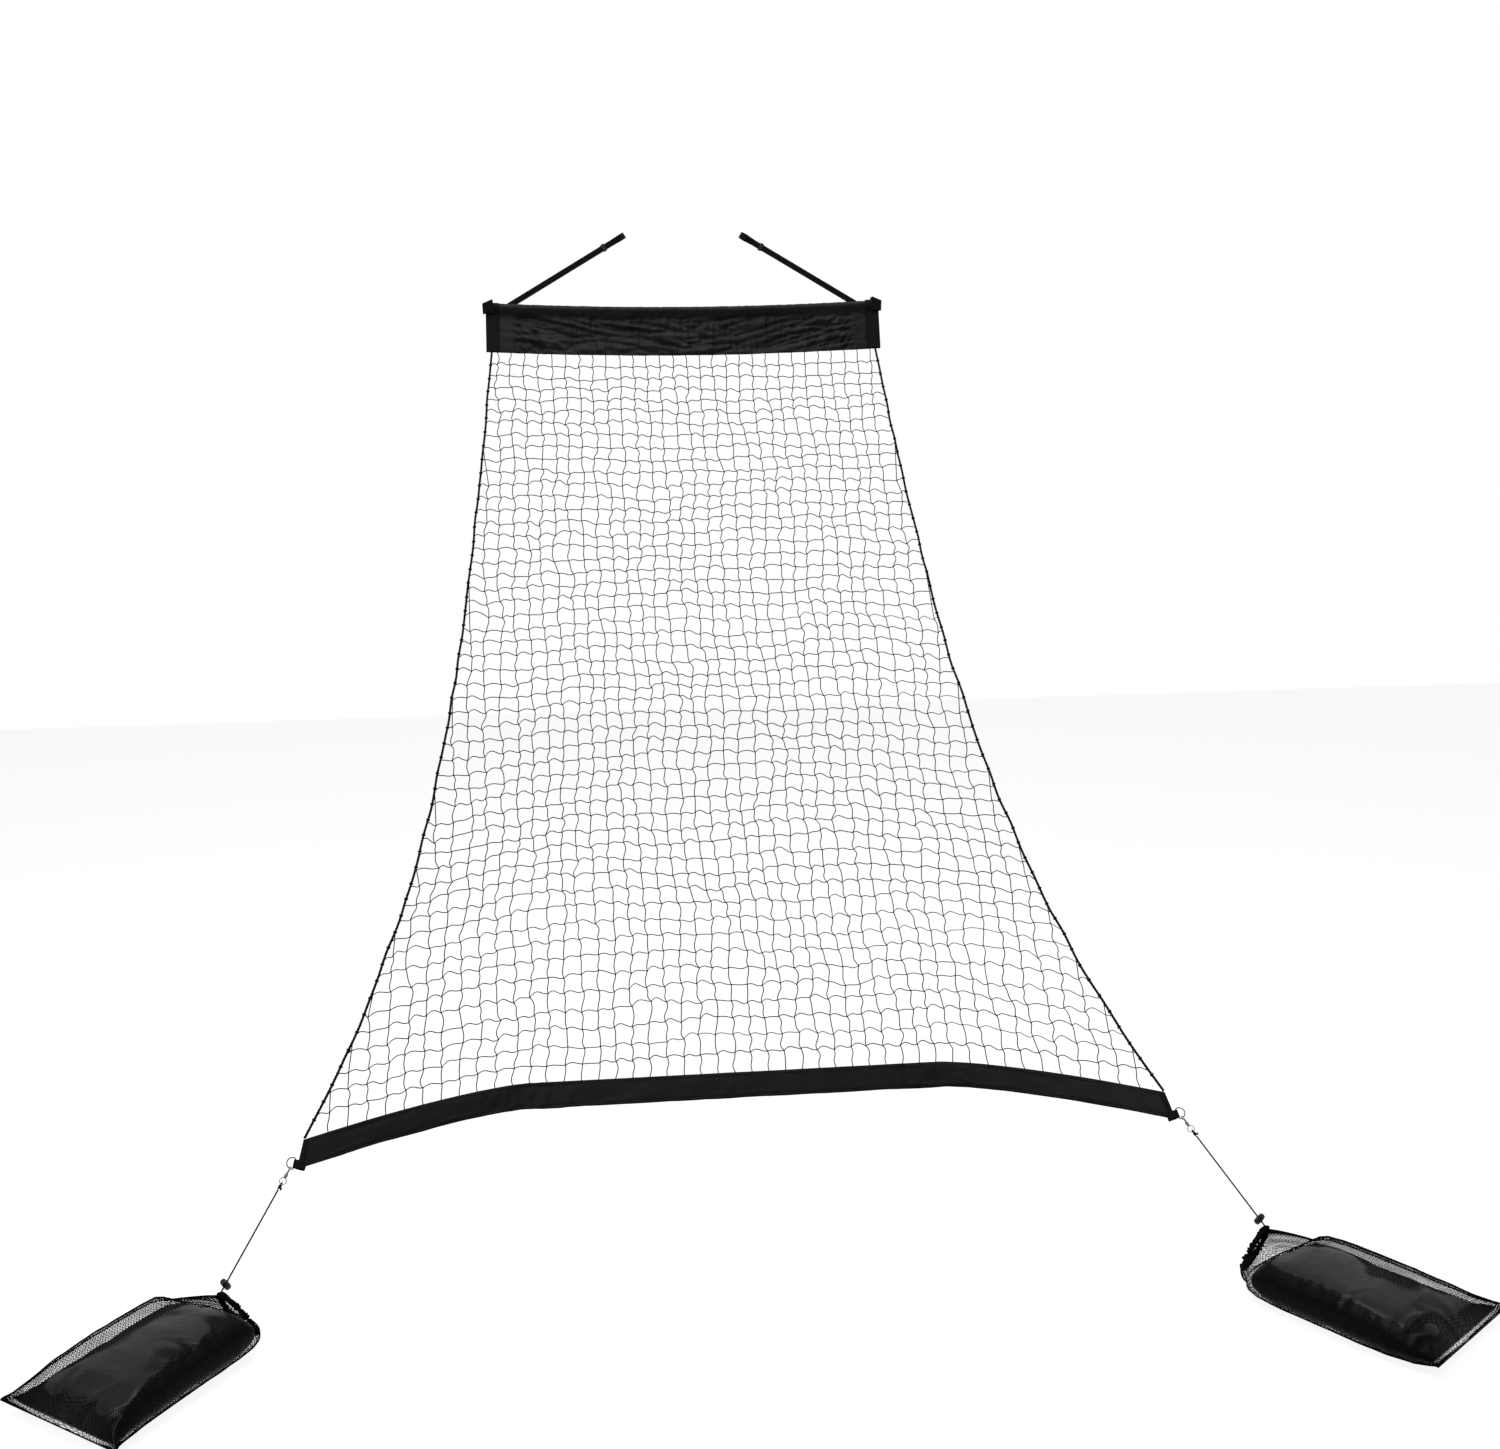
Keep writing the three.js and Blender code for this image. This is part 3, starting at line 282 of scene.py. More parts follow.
class StageSizes(bpy.types.PropertyGroup):
    """Camera, lamps and floor"""

    lens: FloatProperty(name="Lens", description="Focal length in millimetres", default=44.4, min=1)
    camera_x: length("Camera across", "Place of the camera", -0.468)
    camera_y: length("Camera depth", "Place of the camera", -6.248)
    camera_z: length("Camera height", "Place of the camera", -0.68)
    yaw: angle("Yaw", "Turn of the camera to the right", -6.19)
    pitch: angle("Pitch", "Tilt of the camera", -4.29)
    roll: angle("Roll", "Roll of the camera", 0.9)
    axis_row: FloatProperty(name="Axis row", description="Pixel row of the camera's axis", default=576.5)
    floor_half: length("Floor", "Half the width of the floor", 9)
    floor_grey: share("Floor grey", "Reflectance of the floor", 0.13)
    sky: share("Sky", "Strength of the soft light from all round", 0.22)
    floor_glow: share("Floor glow", "How far the seen floor is lifted towards white", 0.9)


GROUPS = {
    "bar": BarSizes,
    "sleeve": SleeveSizes,
    "straps": StrapSizes,
    "net": NetSizes,
    "hem": HemSizes,
    "fittings": FittingSizes,
    "leads": LeadSizes,
    "bags": BagSizes,
    "finishes": Finishes,
    "stage": StageSizes,
}
PREFIX = "return_"


def sizes(name):
    return getattr(bpy.context.scene, PREFIX + name)


# Places on the object, worked out as the frame has them


def mix(a, b, part):
    return a + (b - a) * part


def bow_at(x):
    bar = sizes("bar")
    return bar.bow * (1 - min(1, (x / bar.half_length) ** 2))


def basis(origin, along, sideways):
    """A frame whose X runs along a direction, and whose Y lies near another."""
    x = along.normalized()
    z = x.cross(sideways).normalized()
    turned = Matrix((x, z.cross(x), z)).transposed().to_4x4()
    return Matrix.Translation(origin) @ turned


def corner_share(across):
    hem = sizes("hem")
    return (max(0, abs(across) - hem.bend_share) / (1 - hem.bend_share)) ** hem.bend_power


def hem_top(across):
    hem = sizes("hem")
    corner = corner_share(across)
    return Vector((
        across * hem.half_width,
        -hem.forward - hem.corner_forward * corner,
        -hem.drop - hem.corner_drop * corner,
    ))


def hem_bottom(across):
    hem = sizes("hem")
    corner = corner_share(across)
    height = hem.height + hem.corner_height * corner
    lean = hem.lean + hem.corner_lean * corner
    return hem_top(across) + Vector((across * hem.slant, -height * math.sin(lean), -height * math.cos(lean)))


HEM_STEP = 1 / 14


def hem_along(across):
    return hem_top(min(1, across + HEM_STEP)) - hem_top(max(-1, across - HEM_STEP))


def hem_normal(across):
    return hem_along(across).cross(hem_top(across) - hem_bottom(across)).normalized()


def net_foot():
    """Half the width of the net at the hem."""
    net = sizes("net")
    return sizes("hem").half_width - net.rope - net.end_gap


def net_half(down, flare_share=1.0):
    """Half the width of the net, with all or a share of the flare near the hem."""
    net = sizes("net")
    flare = net_foot() - net.top_half - net.spread
    return net.top_half + net.spread * down + flare_share * flare * down ** net.flare_power


def net_point(across, down):
    """A point of the net: across from -1 to 1, and down from 0 at the sleeve to 1 at the hem."""
    net, bar, sleeve = sizes("net"), sizes("bar"), sizes("sleeve")
    top_y = -bar.forward - net.reach * math.sin(sleeve.tilt)
    top_z = -bar.drop - bow_at(across * net.top_half) - net.reach * math.cos(sleeve.tilt)
    on_hem = across * net_foot() / sizes("hem").half_width
    foot = hem_top(on_hem)
    foot += (foot - hem_bottom(on_hem)).normalized() * net.hem_gap
    droop = net.sag * 4 * down * (1 - down)
    return Vector((across * net_half(down), mix(top_y, foot.y, down) + droop, mix(top_z, foot.z, down)))


def net_axes(across, down):
    """Unit vectors across the net, down it and outwards at its edge."""
    along = (net_point(across + HEM_STEP, down) - net_point(across - HEM_STEP, down)).normalized()
    above = net_point(across, max(0, down - HEM_STEP))
    drop = (net_point(across, min(1, down + HEM_STEP)) - above).normalized()
    return along, drop, along.cross(drop).normalized()


def rope_point(side, down):
    _, drop, out = net_axes(side, down)
    border = out.cross(drop).normalized()
    if border.x * side < 0:
        border.negate()
    return net_point(side, down) + border * sizes("net").rope_gap


def ring_frame(side):
    fittings = sizes("fittings")
    top, bottom = hem_top(side), hem_bottom(side)
    upward = (top - bottom).normalized()
    along = hem_along(side) * side
    outward = (along - upward * along.dot(upward)).normalized()
    origin = bottom + upward * fittings.tab_rise + outward * fittings.tab_reach
    return basis(origin, outward, upward)


def mouth_point(side):
    bags = sizes("bags")
    return Vector((side * bags.mouth_x, -bags.mouth_forward, bags.mouth_height - bags.ground))


def hook_frame(side):
    """Starts on the ring's wire and runs along the lead."""
    fittings = sizes("fittings")
    ring = ring_frame(side)
    middle = ring @ Vector((fittings.ring_leg, 0, 0))
    flat = ring.col[2].to_3d() * side
    pull = mouth_point(side) - middle
    grip = (pull - flat * pull.dot(flat)).normalized() * fittings.ring_radius
    origin = middle + grip
    pull = (mouth_point(side) - origin).normalized()
    wire = flat.cross(grip)
    wire -= pull * wire.dot(pull)
    return basis(origin, pull, wire.cross(pull))


def lock_frame(side):
    pull = hook_frame(side).col[0].to_3d()
    origin = mouth_point(side) - pull * sizes("leads").lock_place
    return basis(origin, pull, Vector((0, 0, 1)).cross(pull))


def strap_frame(side):
    straps, bar = sizes("straps"), sizes("bar")
    top = Vector((side * straps.half_spacing, 0, 0))
    foot = Vector((side * straps.foot_x, 0, -bar.drop))
    return basis(top, foot - top, Vector((0, 1, 0)))


# Stations of a bag, from its near end to its far end, as shares of its sizes
STATION_SHARES = (0, 0.02, 0.07, 0.16, 0.36, 0.6, 0.78, 0.9, 0.97, 1)
WIDTH_SHARES = (0.85, 0.94, 0.98, 1, 1, 1, 1.02, 1.1, 1.24, 1.36)
TOP_SHARES = (0.62, 0.78, 0.92, 0.98, 1, 0.98, 0.89, 0.7, 0.48, 0.32)
BOTTOM_SHARES = (0.3, 0.14, 0.04, 0, 0, 0, 0, 0.03, 0.12, 0.24)
CENTRE_SHARES = (1, 1, 1, 1, 1, 1, 0.9, 0.6, 0.2, 0)
SIDE_ROUND_SHARE = 0.62
CROWN_ROUND_SHARE = 0.7
SLACK_POWER = 3


def bag_point(side, along, outward, height):
    bags = sizes("bags")
    sin, cos = math.sin(bags.turn), math.cos(bags.turn)
    return Vector((
        side * (bags.mouth_x + along * sin + outward * cos),
        -bags.mouth_forward - along * cos + outward * sin,
        height - bags.ground,
    ))


def side_name(side):
    return "left" if side < 0 else "right"


def sand_start(side):
    return getattr(sizes("bags"), f"start_{side_name(side)}")


def at_station(shares, place):
    return float(np.interp(place, STATION_SHARES, shares))


def rounded(value, power):
    return math.copysign(abs(value) ** power, value)


def bag_skin(side, place, turn, offset, slack):
    """A point on a bag, a distance outside the sand bag."""
    bags = sizes("bags")
    half = bags.half_width * at_station(WIDTH_SHARES, place) + offset
    top = bags.lift + bags.height * at_station(TOP_SHARES, place) + offset
    bottom = bags.lift + bags.height * at_station(BOTTOM_SHARES, place) - offset
    centre = -getattr(bags, f"inward_{side_name(side)}") * at_station(CENTRE_SHARES, place)
    outer = max(0, math.cos(turn)) ** SLACK_POWER
    spare = slack * at_station(CENTRE_SHARES, place)
    height = (top + bottom) / 2 + (top - bottom) / 2 * rounded(math.sin(turn), CROWN_ROUND_SHARE)
    if slack:
        height += outer * bags.tent * at_station(CENTRE_SHARES, place)
    outward = centre + half * rounded(math.cos(turn), SIDE_ROUND_SHARE) + outer * spare
    floor = max(bags.lift - offset, bags.thread / 2)
    along = sand_start(side) + bags.sand_length * place - bags.skew * outward * place * place
    return bag_point(side, along, outward, max(floor, height))


def slit_point(side, turn, offset, setback):
    """A point round the gathered mouth of a mesh bag."""
    bags = sizes("bags")
    inward = bags.slit_half - (bags.slit_half + offset) * math.cos(turn)
    height = bags.mouth_height - bags.slit_drop - inward * bags.slit_rise / bags.slit_half
    return bag_point(
        side,
        bags.slit_drop + bags.slit_reach / 2 * (1 - math.cos(turn)) + setback,
        -inward - bags.slit_drop,
        height + (bags.slit_width + offset) * math.sin(turn),
    )


def bag_axis(side):
    """The way that a bag points, away from its mouth."""
    return bag_point(side, 1, 0, 0) - bag_point(side, 0, 0, 0)


# Making meshes


def finish_piece(obj, material, body, slot, *nodes, smooth=True):
    """Gives a piece its finish, its body and the nodes that it stands for."""
    obj.data.materials.append(material)
    if obj.type == "MESH" and smooth:
        obj.data.shade_smooth()
    if body:
        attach(obj, body)
    if nodes:
        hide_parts(*nodes)
    return obj


def new_object(name, data):
    obj = bpy.data.objects.new(name, data)
    bpy.context.scene.collection.objects.link(obj)
    return obj


def from_bmesh(name, bm, recalculate=False):
    if recalculate:
        bmesh.ops.recalc_face_normals(bm, faces=bm.faces)
    mesh = bpy.data.meshes.new(name)
    bm.to_mesh(mesh)
    bm.free()
    return new_object(name, mesh)


MERGE_DISTANCE = 1e-6


def surface(name, place, across, along, cut, closed=False):
    """A sheet of faces whose point at shares u and v lies at place(u, v).

    Its UV map is in metres of the cut cloth.
    """
    bm = bmesh.new()
    layer = bm.loops.layers.uv.new("Cut")
    bmesh.ops.create_grid(bm, x_segments=across, y_segments=along, size=0.5, calc_uvs=True)
    for face in bm.faces:
        for loop in face.loops:
            loop[layer].uv = ((loop.vert.co.x + 0.5) * cut[0], (loop.vert.co.y + 0.5) * cut[1])
    for vert in bm.verts:
        vert.co = place(vert.co.x + 0.5, vert.co.y + 0.5)
    if closed:
        bmesh.ops.remove_doubles(bm, verts=bm.verts, dist=MERGE_DISTANCE)
    return from_bmesh(name, bm)


def thicken(obj, thickness, offset=0.0):
    solid = obj.modifiers.new("Cloth thickness", "SOLIDIFY")
    solid.thickness = thickness
    solid.offset = offset


BEVEL_SEGMENTS = 2
CLOTH_EDGE = math.radians(35)
REFINED_EDGE = math.radians(40)
FLAT_FACES = math.radians(1)
SHARP_EDGE = math.radians(50)
STEM_SHARP_EDGE = math.radians(40)


def soften(obj, width, limit=CLOTH_EDGE):
    bevel = obj.modifiers.new("Soft edges", "BEVEL")
    bevel.width = width
    bevel.segments = BEVEL_SEGMENTS
    bevel.limit_method = "ANGLE"
    bevel.angle_limit = limit


def bake_modifiers(obj):
    """Applies the modifiers of a piece to its mesh."""
    graph = bpy.context.evaluated_depsgraph_get()
    baked = bpy.data.meshes.new_from_object(obj.evaluated_get(graph))
    obj.modifiers.clear()
    obj.data = baked


def spaced(points, step):
    """The points of a line, evenly spaced along it."""
    points = np.array([list(p) for p in points], float)
    run = np.concatenate([[0], np.cumsum(np.linalg.norm(np.diff(points, axis=0), axis=1))])
    count = max(2, int(round(run[-1] / step)) + 1)
    wanted = np.linspace(0, run[-1], count)
    return [Vector([np.interp(w, run, points[:, k]) for k in range(3)]) for w in wanted]


def line_length(points):
    return sum((b - a).length for a, b in zip(points, points[1:]))


def arc(centre, radius, start, end, steps):
    """Points of an arc in a plane, as pairs."""
    turns = [mix(start, end, i / steps) for i in range(steps + 1)]
    return [(centre[0] + radius * math.cos(t), centre[1] + radius * math.sin(t)) for t in turns]


def ribbon(name, points, width, thickness, material, body, slot, *nodes, across):
    """Webbing that follows a line of points, with its width along a vector."""
    half = width / 2
    long = line_length(points)
    last = len(points) - 1

    def place(u, v):
        at = v * last
        first = min(int(at), last - 1)
        return points[first].lerp(points[first + 1], at - first) + half * (2 * u - 1)

    obj = surface(name, place, across, last, (width.length, long))
    thicken(obj, thickness)
    soften(obj, thickness / 4)
    return finish_piece(obj, material, body, slot, *nodes)


def curve_piece(name, lines, diameter, sides, material, body, slot, *nodes, cyclic=False):
    """Round twine, cord or wire that follows lines of points."""
    curve = bpy.data.curves.new(name, "CURVE")
    curve.dimensions = "3D"
    curve.bevel_depth = diameter / 2
    curve.bevel_resolution = max(0, sides // 2 - 2)
    curve.use_fill_caps = True
    for points in lines:
        spline = curve.splines.new("POLY")
        spline.points.add(len(points) - 1)
        flat = [value for point in points for value in (*point, 1.0)]
        spline.points.foreach_set("co", flat)
        spline.use_cyclic_u = cyclic
    obj = new_object(name, curve)
    return finish_piece(obj, material, body, slot, *nodes)


def as_mesh(obj):
    """A curve piece as a mesh."""
    graph = bpy.context.evaluated_depsgraph_get()
    mesh = bpy.data.meshes.new_from_object(obj.evaluated_get(graph))
    made = new_object(obj.name + "_mesh", mesh)
    name = obj.name
    bpy.data.objects.remove(obj)
    made.name = name
    return made


TURN_STEPS = 32


def turned(name, profile, place, steps=TURN_STEPS):
    """A turned piece about the X axis of a frame, from pairs of place along X and radius."""
    bm = bmesh.new()
    verts = [bm.verts.new((x, radius, 0)) for x, radius in profile]
    edges = [bm.edges.new(pair) for pair in zip(verts, verts[1:])]
    bmesh.ops.spin(
        bm, geom=verts + edges, cent=(0, 0, 0), axis=(1, 0, 0), angle=FULL_TURN, steps=steps, use_merge=True
    )
    bmesh.ops.remove_doubles(bm, verts=bm.verts, dist=MERGE_DISTANCE)
    bmesh.ops.transform(bm, matrix=place, verts=bm.verts)
    return from_bmesh(name, bm, recalculate=True)


def refined(node, name, width, material, body, slot):
    """A softened copy of a rigid node."""
    bm = bmesh.new()
    bm.from_mesh(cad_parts[node].data)
    bmesh.ops.remove_doubles(bm, verts=bm.verts, dist=MERGE_DISTANCE)
    bmesh.ops.dissolve_limit(bm, angle_limit=FLAT_FACES, verts=bm.verts, edges=bm.edges)
    obj = from_bmesh(name, bm)
    soften(obj, width, limit=REFINED_EDGE)
    finish_piece(obj, material, body, slot, node)
    obj.data.set_sharp_from_angle(angle=SHARP_EDGE)
    return obj


STITCH_PITCH = 0.0048
TACK_PITCH = 0.003
STITCH_SIZE = 0.0008
STITCH_SHARE = 0.68  # of its pitch that a stitch covers


def stitches(name, points, out, pitch=STITCH_PITCH):
    """A row of short stitches along a line, standing just off its cloth."""
    bm = bmesh.new()
    places = spaced(points, pitch)
    for first, second in zip(places, places[1:]):
        middle = first.lerp(second, 0.5)
        turn = basis(middle, second - first, out)
        scale = Matrix.Diagonal((STITCH_SHARE * (second - first).length, STITCH_SIZE, STITCH_SIZE, 1))
        bmesh.ops.create_cube(bm, size=1, matrix=turn @ scale)
    obj = from_bmesh(name, bm)
    finish_piece(obj, finish_of("twine"), "root", "webbing", smooth=False)


# Materials


def add(tree, kind, settings=None, inputs=None):
    """Adds a node with its settings, and links or sets its inputs."""
    made = tree.nodes.new(kind)
    for name, value in (settings or {}).items():
        setattr(made, name, value)
    for name, value in (inputs or {}).items():
        if isinstance(value, bpy.types.NodeSocket):
            tree.links.new(value, made.inputs[name])
        else:
            made.inputs[name].default_value = value
    return made


def material_tree(name, shader_inputs):
    material = bpy.data.materials.new(name)
    material.use_nodes = True
    tree = material.node_tree
    tree.nodes.clear()
    shader = add(tree, "ShaderNodeBsdfPrincipled", inputs=shader_inputs)
    add(tree, "ShaderNodeOutputMaterial", inputs={"Surface": shader.outputs["BSDF"]})
    return material, tree, shader


def ramp(tree, factor, stops):
    """A colour ramp from pairs of place and colour."""
    made = add(tree, "ShaderNodeValToRGB", inputs={"Fac": factor})
    elements = made.color_ramp.elements
    while len(elements) < len(stops):
        elements.new(0.5)
    for element, (place, value) in zip(elements, stops):
        element.position = place
        element.color = value
    return made.outputs["Color"]


def lighter(value, factor):
    return [min(1, part * factor) for part in value[:3]] + [1.0]


WAVE_SCALE = 0.314  # of a wave texture whose bands lie one unit apart
RIB_STRETCH = 1.6  # how much further apart the ribs along a webbing are than those across


def texture_place(tree, kind):
    return add(tree, "ShaderNodeTexCoord").outputs[kind]


def joined(tree, operation, first, second):
    return add(tree, "ShaderNodeMath", {"operation": operation}, {0: first, 1: second}).outputs[0]


def noise_over(tree, vector, scale, detail, more=None):
    inputs = {"Vector": vector, "Scale": scale, "Detail": detail, **(more or {})}
    return add(tree, "ShaderNodeTexNoise", inputs=inputs).outputs["Fac"]


def bands_over(tree, cut, direction, pitch, distortion, more=None):
    settings = {"wave_type": "BANDS", "bands_direction": direction}
    inputs = {"Vector": cut, "Scale": WAVE_SCALE / pitch, "Distortion": distortion, **(more or {})}
    return add(tree, "ShaderNodeTexWave", settings, inputs).outputs["Fac"]


def bumped(tree, height, distance, strength, under=None, invert=False):
    """A bumped normal, over another one if there is one."""
    inputs = {"Height": height, "Distance": distance, "Strength": strength}
    if under is not None:
        inputs["Normal"] = under
    return add(tree, "ShaderNodeBump", {"invert": invert}, inputs).outputs["Normal"]


def mapped(tree, value, limits):
    return add(tree, "ShaderNodeMapRange", inputs={"Value": value, **limits}).outputs["Result"]


def connect(tree, shader, sockets):
    for name, value in sockets.items():
        tree.links.new(value, shader.inputs[name])


def uneven(tree, vector, value, pitch, low, high):
    """A colour that drifts between a darker and a lighter shade of itself."""
    drift = noise_over(tree, vector, scale=1 / pitch, detail=4.0)
    return ramp(tree, drift, [(0.3, lighter(value, low)), (0.7, lighter(value, high))])


def woven(name, value, thread, gloss, sheen):
    """Plain weave: two sets of threads that cross, seen as a fine grid with a faint silky lustre."""
    material, tree, shader = material_tree(name, {
        "Roughness": gloss, "Specular IOR Level": 0.04, "Sheen Weight": sheen, "Sheen Roughness": 0.45,
    })
    cut = texture_place(tree, "UV")
    blur = {"Detail": 1.0, "Detail Scale": 2.0}
    across, along = [bands_over(tree, cut, way, thread, distortion=0.4, more=blur) for way in ("X", "Y")]
    weave = bumped(tree, joined(tree, "MULTIPLY", across, along), distance=0.0004, strength=0.5)
    crumple = noise_over(tree, cut, scale=45.0, detail=5.0, more={"Roughness": 0.6})
    connect(tree, shader, {
        "Normal": bumped(tree, crumple, distance=0.004, strength=0.35, under=weave),
        "Base Color": uneven(tree, cut, value, pitch=0.12, low=0.75, high=1.35),
    })
    return material


def ribbed(name, value, rib):
    """Webbing: thick polyester yarns that lie side by side, matt, with a rib across its width."""
    material, tree, shader = material_tree(name, {
        "Roughness": 0.8, "Specular IOR Level": 0.04, "Sheen Weight": 0.01,
    })
    cut = texture_place(tree, "UV")
    across = bands_over(tree, cut, "X", rib, distortion=0.2)
    along = bands_over(tree, cut, "Y", rib * RIB_STRETCH, distortion=0.6)
    connect(tree, shader, {
        "Normal": bumped(tree, joined(tree, "ADD", across, along), distance=0.0005, strength=0.6),
        "Base Color": uneven(tree, cut, value, pitch=0.02, low=0.8, high=1.35),
    })
    return material


def spun(name, value, fibre, gloss):
    """Twine and rope: twisted fibres, with a soft satin look and a fine uneven surface."""
    material, tree, shader = material_tree(name, {"Roughness": gloss, "Specular IOR Level": 0.01})
    place = texture_place(tree, "Object")
    fibres = noise_over(tree, place, scale=1 / fibre, detail=3.0)
    connect(tree, shader, {
        "Normal": bumped(tree, fibres, distance=0.0003, strength=0.6),
        "Base Color": uneven(tree, place, value, pitch=0.05, low=0.7, high=1.5),
    })
    return material


def plated(name, value):
    """Nickel plate on die cast zinc: bright, with small changes of gloss where it has been handled."""
    material, tree, shader = material_tree(name, {"Metallic": 1.0, "Base Color": list(value)})
    handled = noise_over(tree, texture_place(tree, "Object"), scale=180.0, detail=4.0)
    connect(tree, shader, {
        "Roughness": mapped(tree, handled, {"To Min": 0.16, "To Max": 0.38}),
        "Normal": bumped(tree, handled, distance=0.0001, strength=0.3),
    })
    return material


def powder_coated(name, value):
    """Powder coat on steel tube: satin, with the fine orange peel of baked paint."""
    material, tree, shader = material_tree(name, {"Roughness": 0.45, "Base Color": list(value)})
    peel = noise_over(tree, texture_place(tree, "Object"), scale=700.0, detail=2.0)
    connect(tree, shader, {"Normal": bumped(tree, peel, distance=0.0002, strength=0.4)})
    return material


def moulded(name, value):
    """Moulded nylon: a fine spark-eroded grain, half matt."""
    material, tree, shader = material_tree(name, {"Roughness": 0.45, "Specular IOR Level": 0.15})
    place = texture_place(tree, "Object")
    grain = noise_over(tree, place, scale=1400.0, detail=3.0)
    connect(tree, shader, {
        "Normal": bumped(tree, grain, distance=0.0002, strength=0.4),
        "Base Color": uneven(tree, place, value, pitch=0.01, low=0.85, high=1.3),
    })
    return material


def soft_vinyl(name, value):
    """Plasticised vinyl film over sand: glossy, with shallow creases and the grit of the sand behind it."""
    material, tree, shader = material_tree(name, {"Specular IOR Level": 0.1, "Base Color": list(value)})
    place = texture_place(tree, "Object")
    crease = noise_over(tree, place, scale=14.0, detail=6.0, more={"Roughness": 0.55, "Distortion": 0.6})
    grit = noise_over(tree, place, scale=420.0, detail=2.0)
    fine = bumped(tree, grit, distance=0.0002, strength=0.25)
    worn = {"From Min": 0.3, "From Max": 0.7, "To Min": 0.32, "To Max": 0.44}
    connect(tree, shader, {
        "Roughness": mapped(tree, crease, worn),
        "Normal": bumped(tree, crease, distance=0.006, strength=0.4, under=fine),
    })
    return material


def braided(name, value, pick):
    """Braided cord: a cover of fine strands that cross, slightly waxy."""
    material, tree, shader = material_tree(name, {
        "Roughness": 0.6, "Specular IOR Level": 0.03, "Sheen Weight": 0.005,
    })
    place = texture_place(tree, "Object")
    cells = {"Vector": place, "Scale": 1 / pick}
    crossing = add(tree, "ShaderNodeTexVoronoi", {"distance": "MANHATTAN"}, cells).outputs["Distance"]
    connect(tree, shader, {
        "Normal": bumped(tree, crossing, distance=0.0004, strength=0.7, invert=True),
        "Base Color": uneven(tree, place, value, pitch=0.015, low=0.8, high=1.5),
    })
    return material


MATERIALS = {
    # Threads are drawn at 1.6 mm, three times their real spacing, so that the weave shows
    "sleeve_cloth": lambda f: woven("woven_nylon_sleeve", f.sleeve, thread=0.0016, gloss=0.42, sheen=0.01),
    "hem_cloth": lambda f: woven("woven_nylon_hem", f.hem, thread=0.0016, gloss=0.5, sheen=0.01),
    "webbing": lambda f: ribbed("polyester_webbing", f.webbing, rib=0.0014),
    "twine": lambda f: spun("knotted_nylon_twine", f.twine, fibre=0.0012, gloss=0.7),
    "rope": lambda f: spun("laid_polypropylene_rope", f.twine, fibre=0.0012, gloss=0.65),
    "cord": lambda f: braided("braided_nylon_cord", f.cord, pick=0.0012),
    "vinyl": lambda f: soft_vinyl("glossy_black_vinyl", f.vinyl),
    "mesh": lambda f: spun("knitted_polyester_mesh", f.mesh, fibre=0.0008, gloss=0.8),
    "mesh_cloth": lambda f: spun("gathered_polyester_mesh", f.mesh, fibre=0.0016, gloss=0.85),
    "nickel": lambda f: plated("nickel_plated_zinc", f.nickel),
    "dark_nickel": lambda f: plated("black_nickel_plated_steel", f.dark_nickel),
    "steel": lambda f: powder_coated("powder_coated_steel", f.steel),
    "moulded": lambda f: moulded("moulded_nylon", f.moulded),
}
made_materials = {}


def finish_of(name):
    if name not in made_materials:
        made_materials[name] = MATERIALS[name](sizes("finishes"))
    return made_materials[name]


# Operators


class PieceOperator(bpy.types.Operator):
    """Base of the operators that make one piece or a group of like pieces"""

    bl_options = {"REGISTER", "UNDO"}

    def execute(self, context):
        self.make()
        return {"FINISHED"}


class RETURNNET_OT_camera(PieceOperator):
    """Set up the camera where the photograph was taken from"""

    bl_idname = "return_net.camera"
    bl_label = "Camera"

    def make(self):
        stage = sizes("stage")
        data = bpy.data.cameras.new("camera")
        data.lens = stage.lens
        data.shift_y = (stage.axis_row - PHOTO_HEIGHT / 2) / PHOTO_WIDTH
        data.clip_end = 100
        camera = new_object("camera", data)
        turn = (
            Matrix.Rotation(stage.yaw, 4, "Z")
            @ Matrix.Rotation(stage.pitch, 4, "X")
            @ Matrix.Rotation(stage.roll, 4, "Y")
            @ Matrix.Rotation(math.pi / 2, 4, "X")
        )
        camera.matrix_world = Matrix.Translation((stage.camera_x, stage.camera_y, stage.camera_z)) @ turn
        bpy.context.scene.camera = camera


CORD_SIDES = 12
DRAW_SIDES = 10
DRAW_STEPS = 72
DRAW_SHOWN = range(3, 70)
DRAW_CORD_PARTS = 7


def draw_offset():
    """From the slit out to the middle of the draw cord."""
    return sizes("bags").lift + sizes("leads").cord / DRAW_CORD_PARTS


class RETURNNET_OT_leads(PieceOperator):
    """Make the taut leads from the hooks to the bags, and the draw cords in the bags' mouths"""

    bl_idname = "return_net.leads"
    bl_label = "Leads and draw cords"

    def make(self):
        for name, side in SIDES.items():
            self.make_lead(name, side)
            self.make_draw_cord(name, side)

    def make_lead(self, name, side):
        leads = sizes("leads")
        hook = hook_frame(side)
        far = (mouth_point(side) - hook.translation).length + leads.tuck
        # The lead's route runs straight from its knot, through its lock, to the mouth of the bag
        route = [hook @ Vector((x, 0, 0)) for x in (leads.start, (leads.start + far) / 2, far)]
        path = spaced(route, leads.cord / 2)
        round_lead = curve_piece(
            f"lead_{name}", [path], leads.cord, CORD_SIDES, finish_of("cord"), None, "lead_cord"
        )
        obj = as_mesh(round_lead)
        obj.data.shade_smooth()
        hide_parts(f"lead_cord_{name}")
        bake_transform(obj)

    def make_draw_cord(self, name, side):
        leads, bags = sizes("leads"), sizes("bags")
        turns = [FULL_TURN * i / DRAW_STEPS for i in DRAW_SHOWN]
        path = [slit_point(side, turn, draw_offset(), bags.neck / 2) for turn in turns]
        curve_piece(
            f"draw_{name}", [path], leads.cord, DRAW_SIDES, finish_of("cord"), "root", "lead_cord",
            f"draw_cord_{name}",
        )


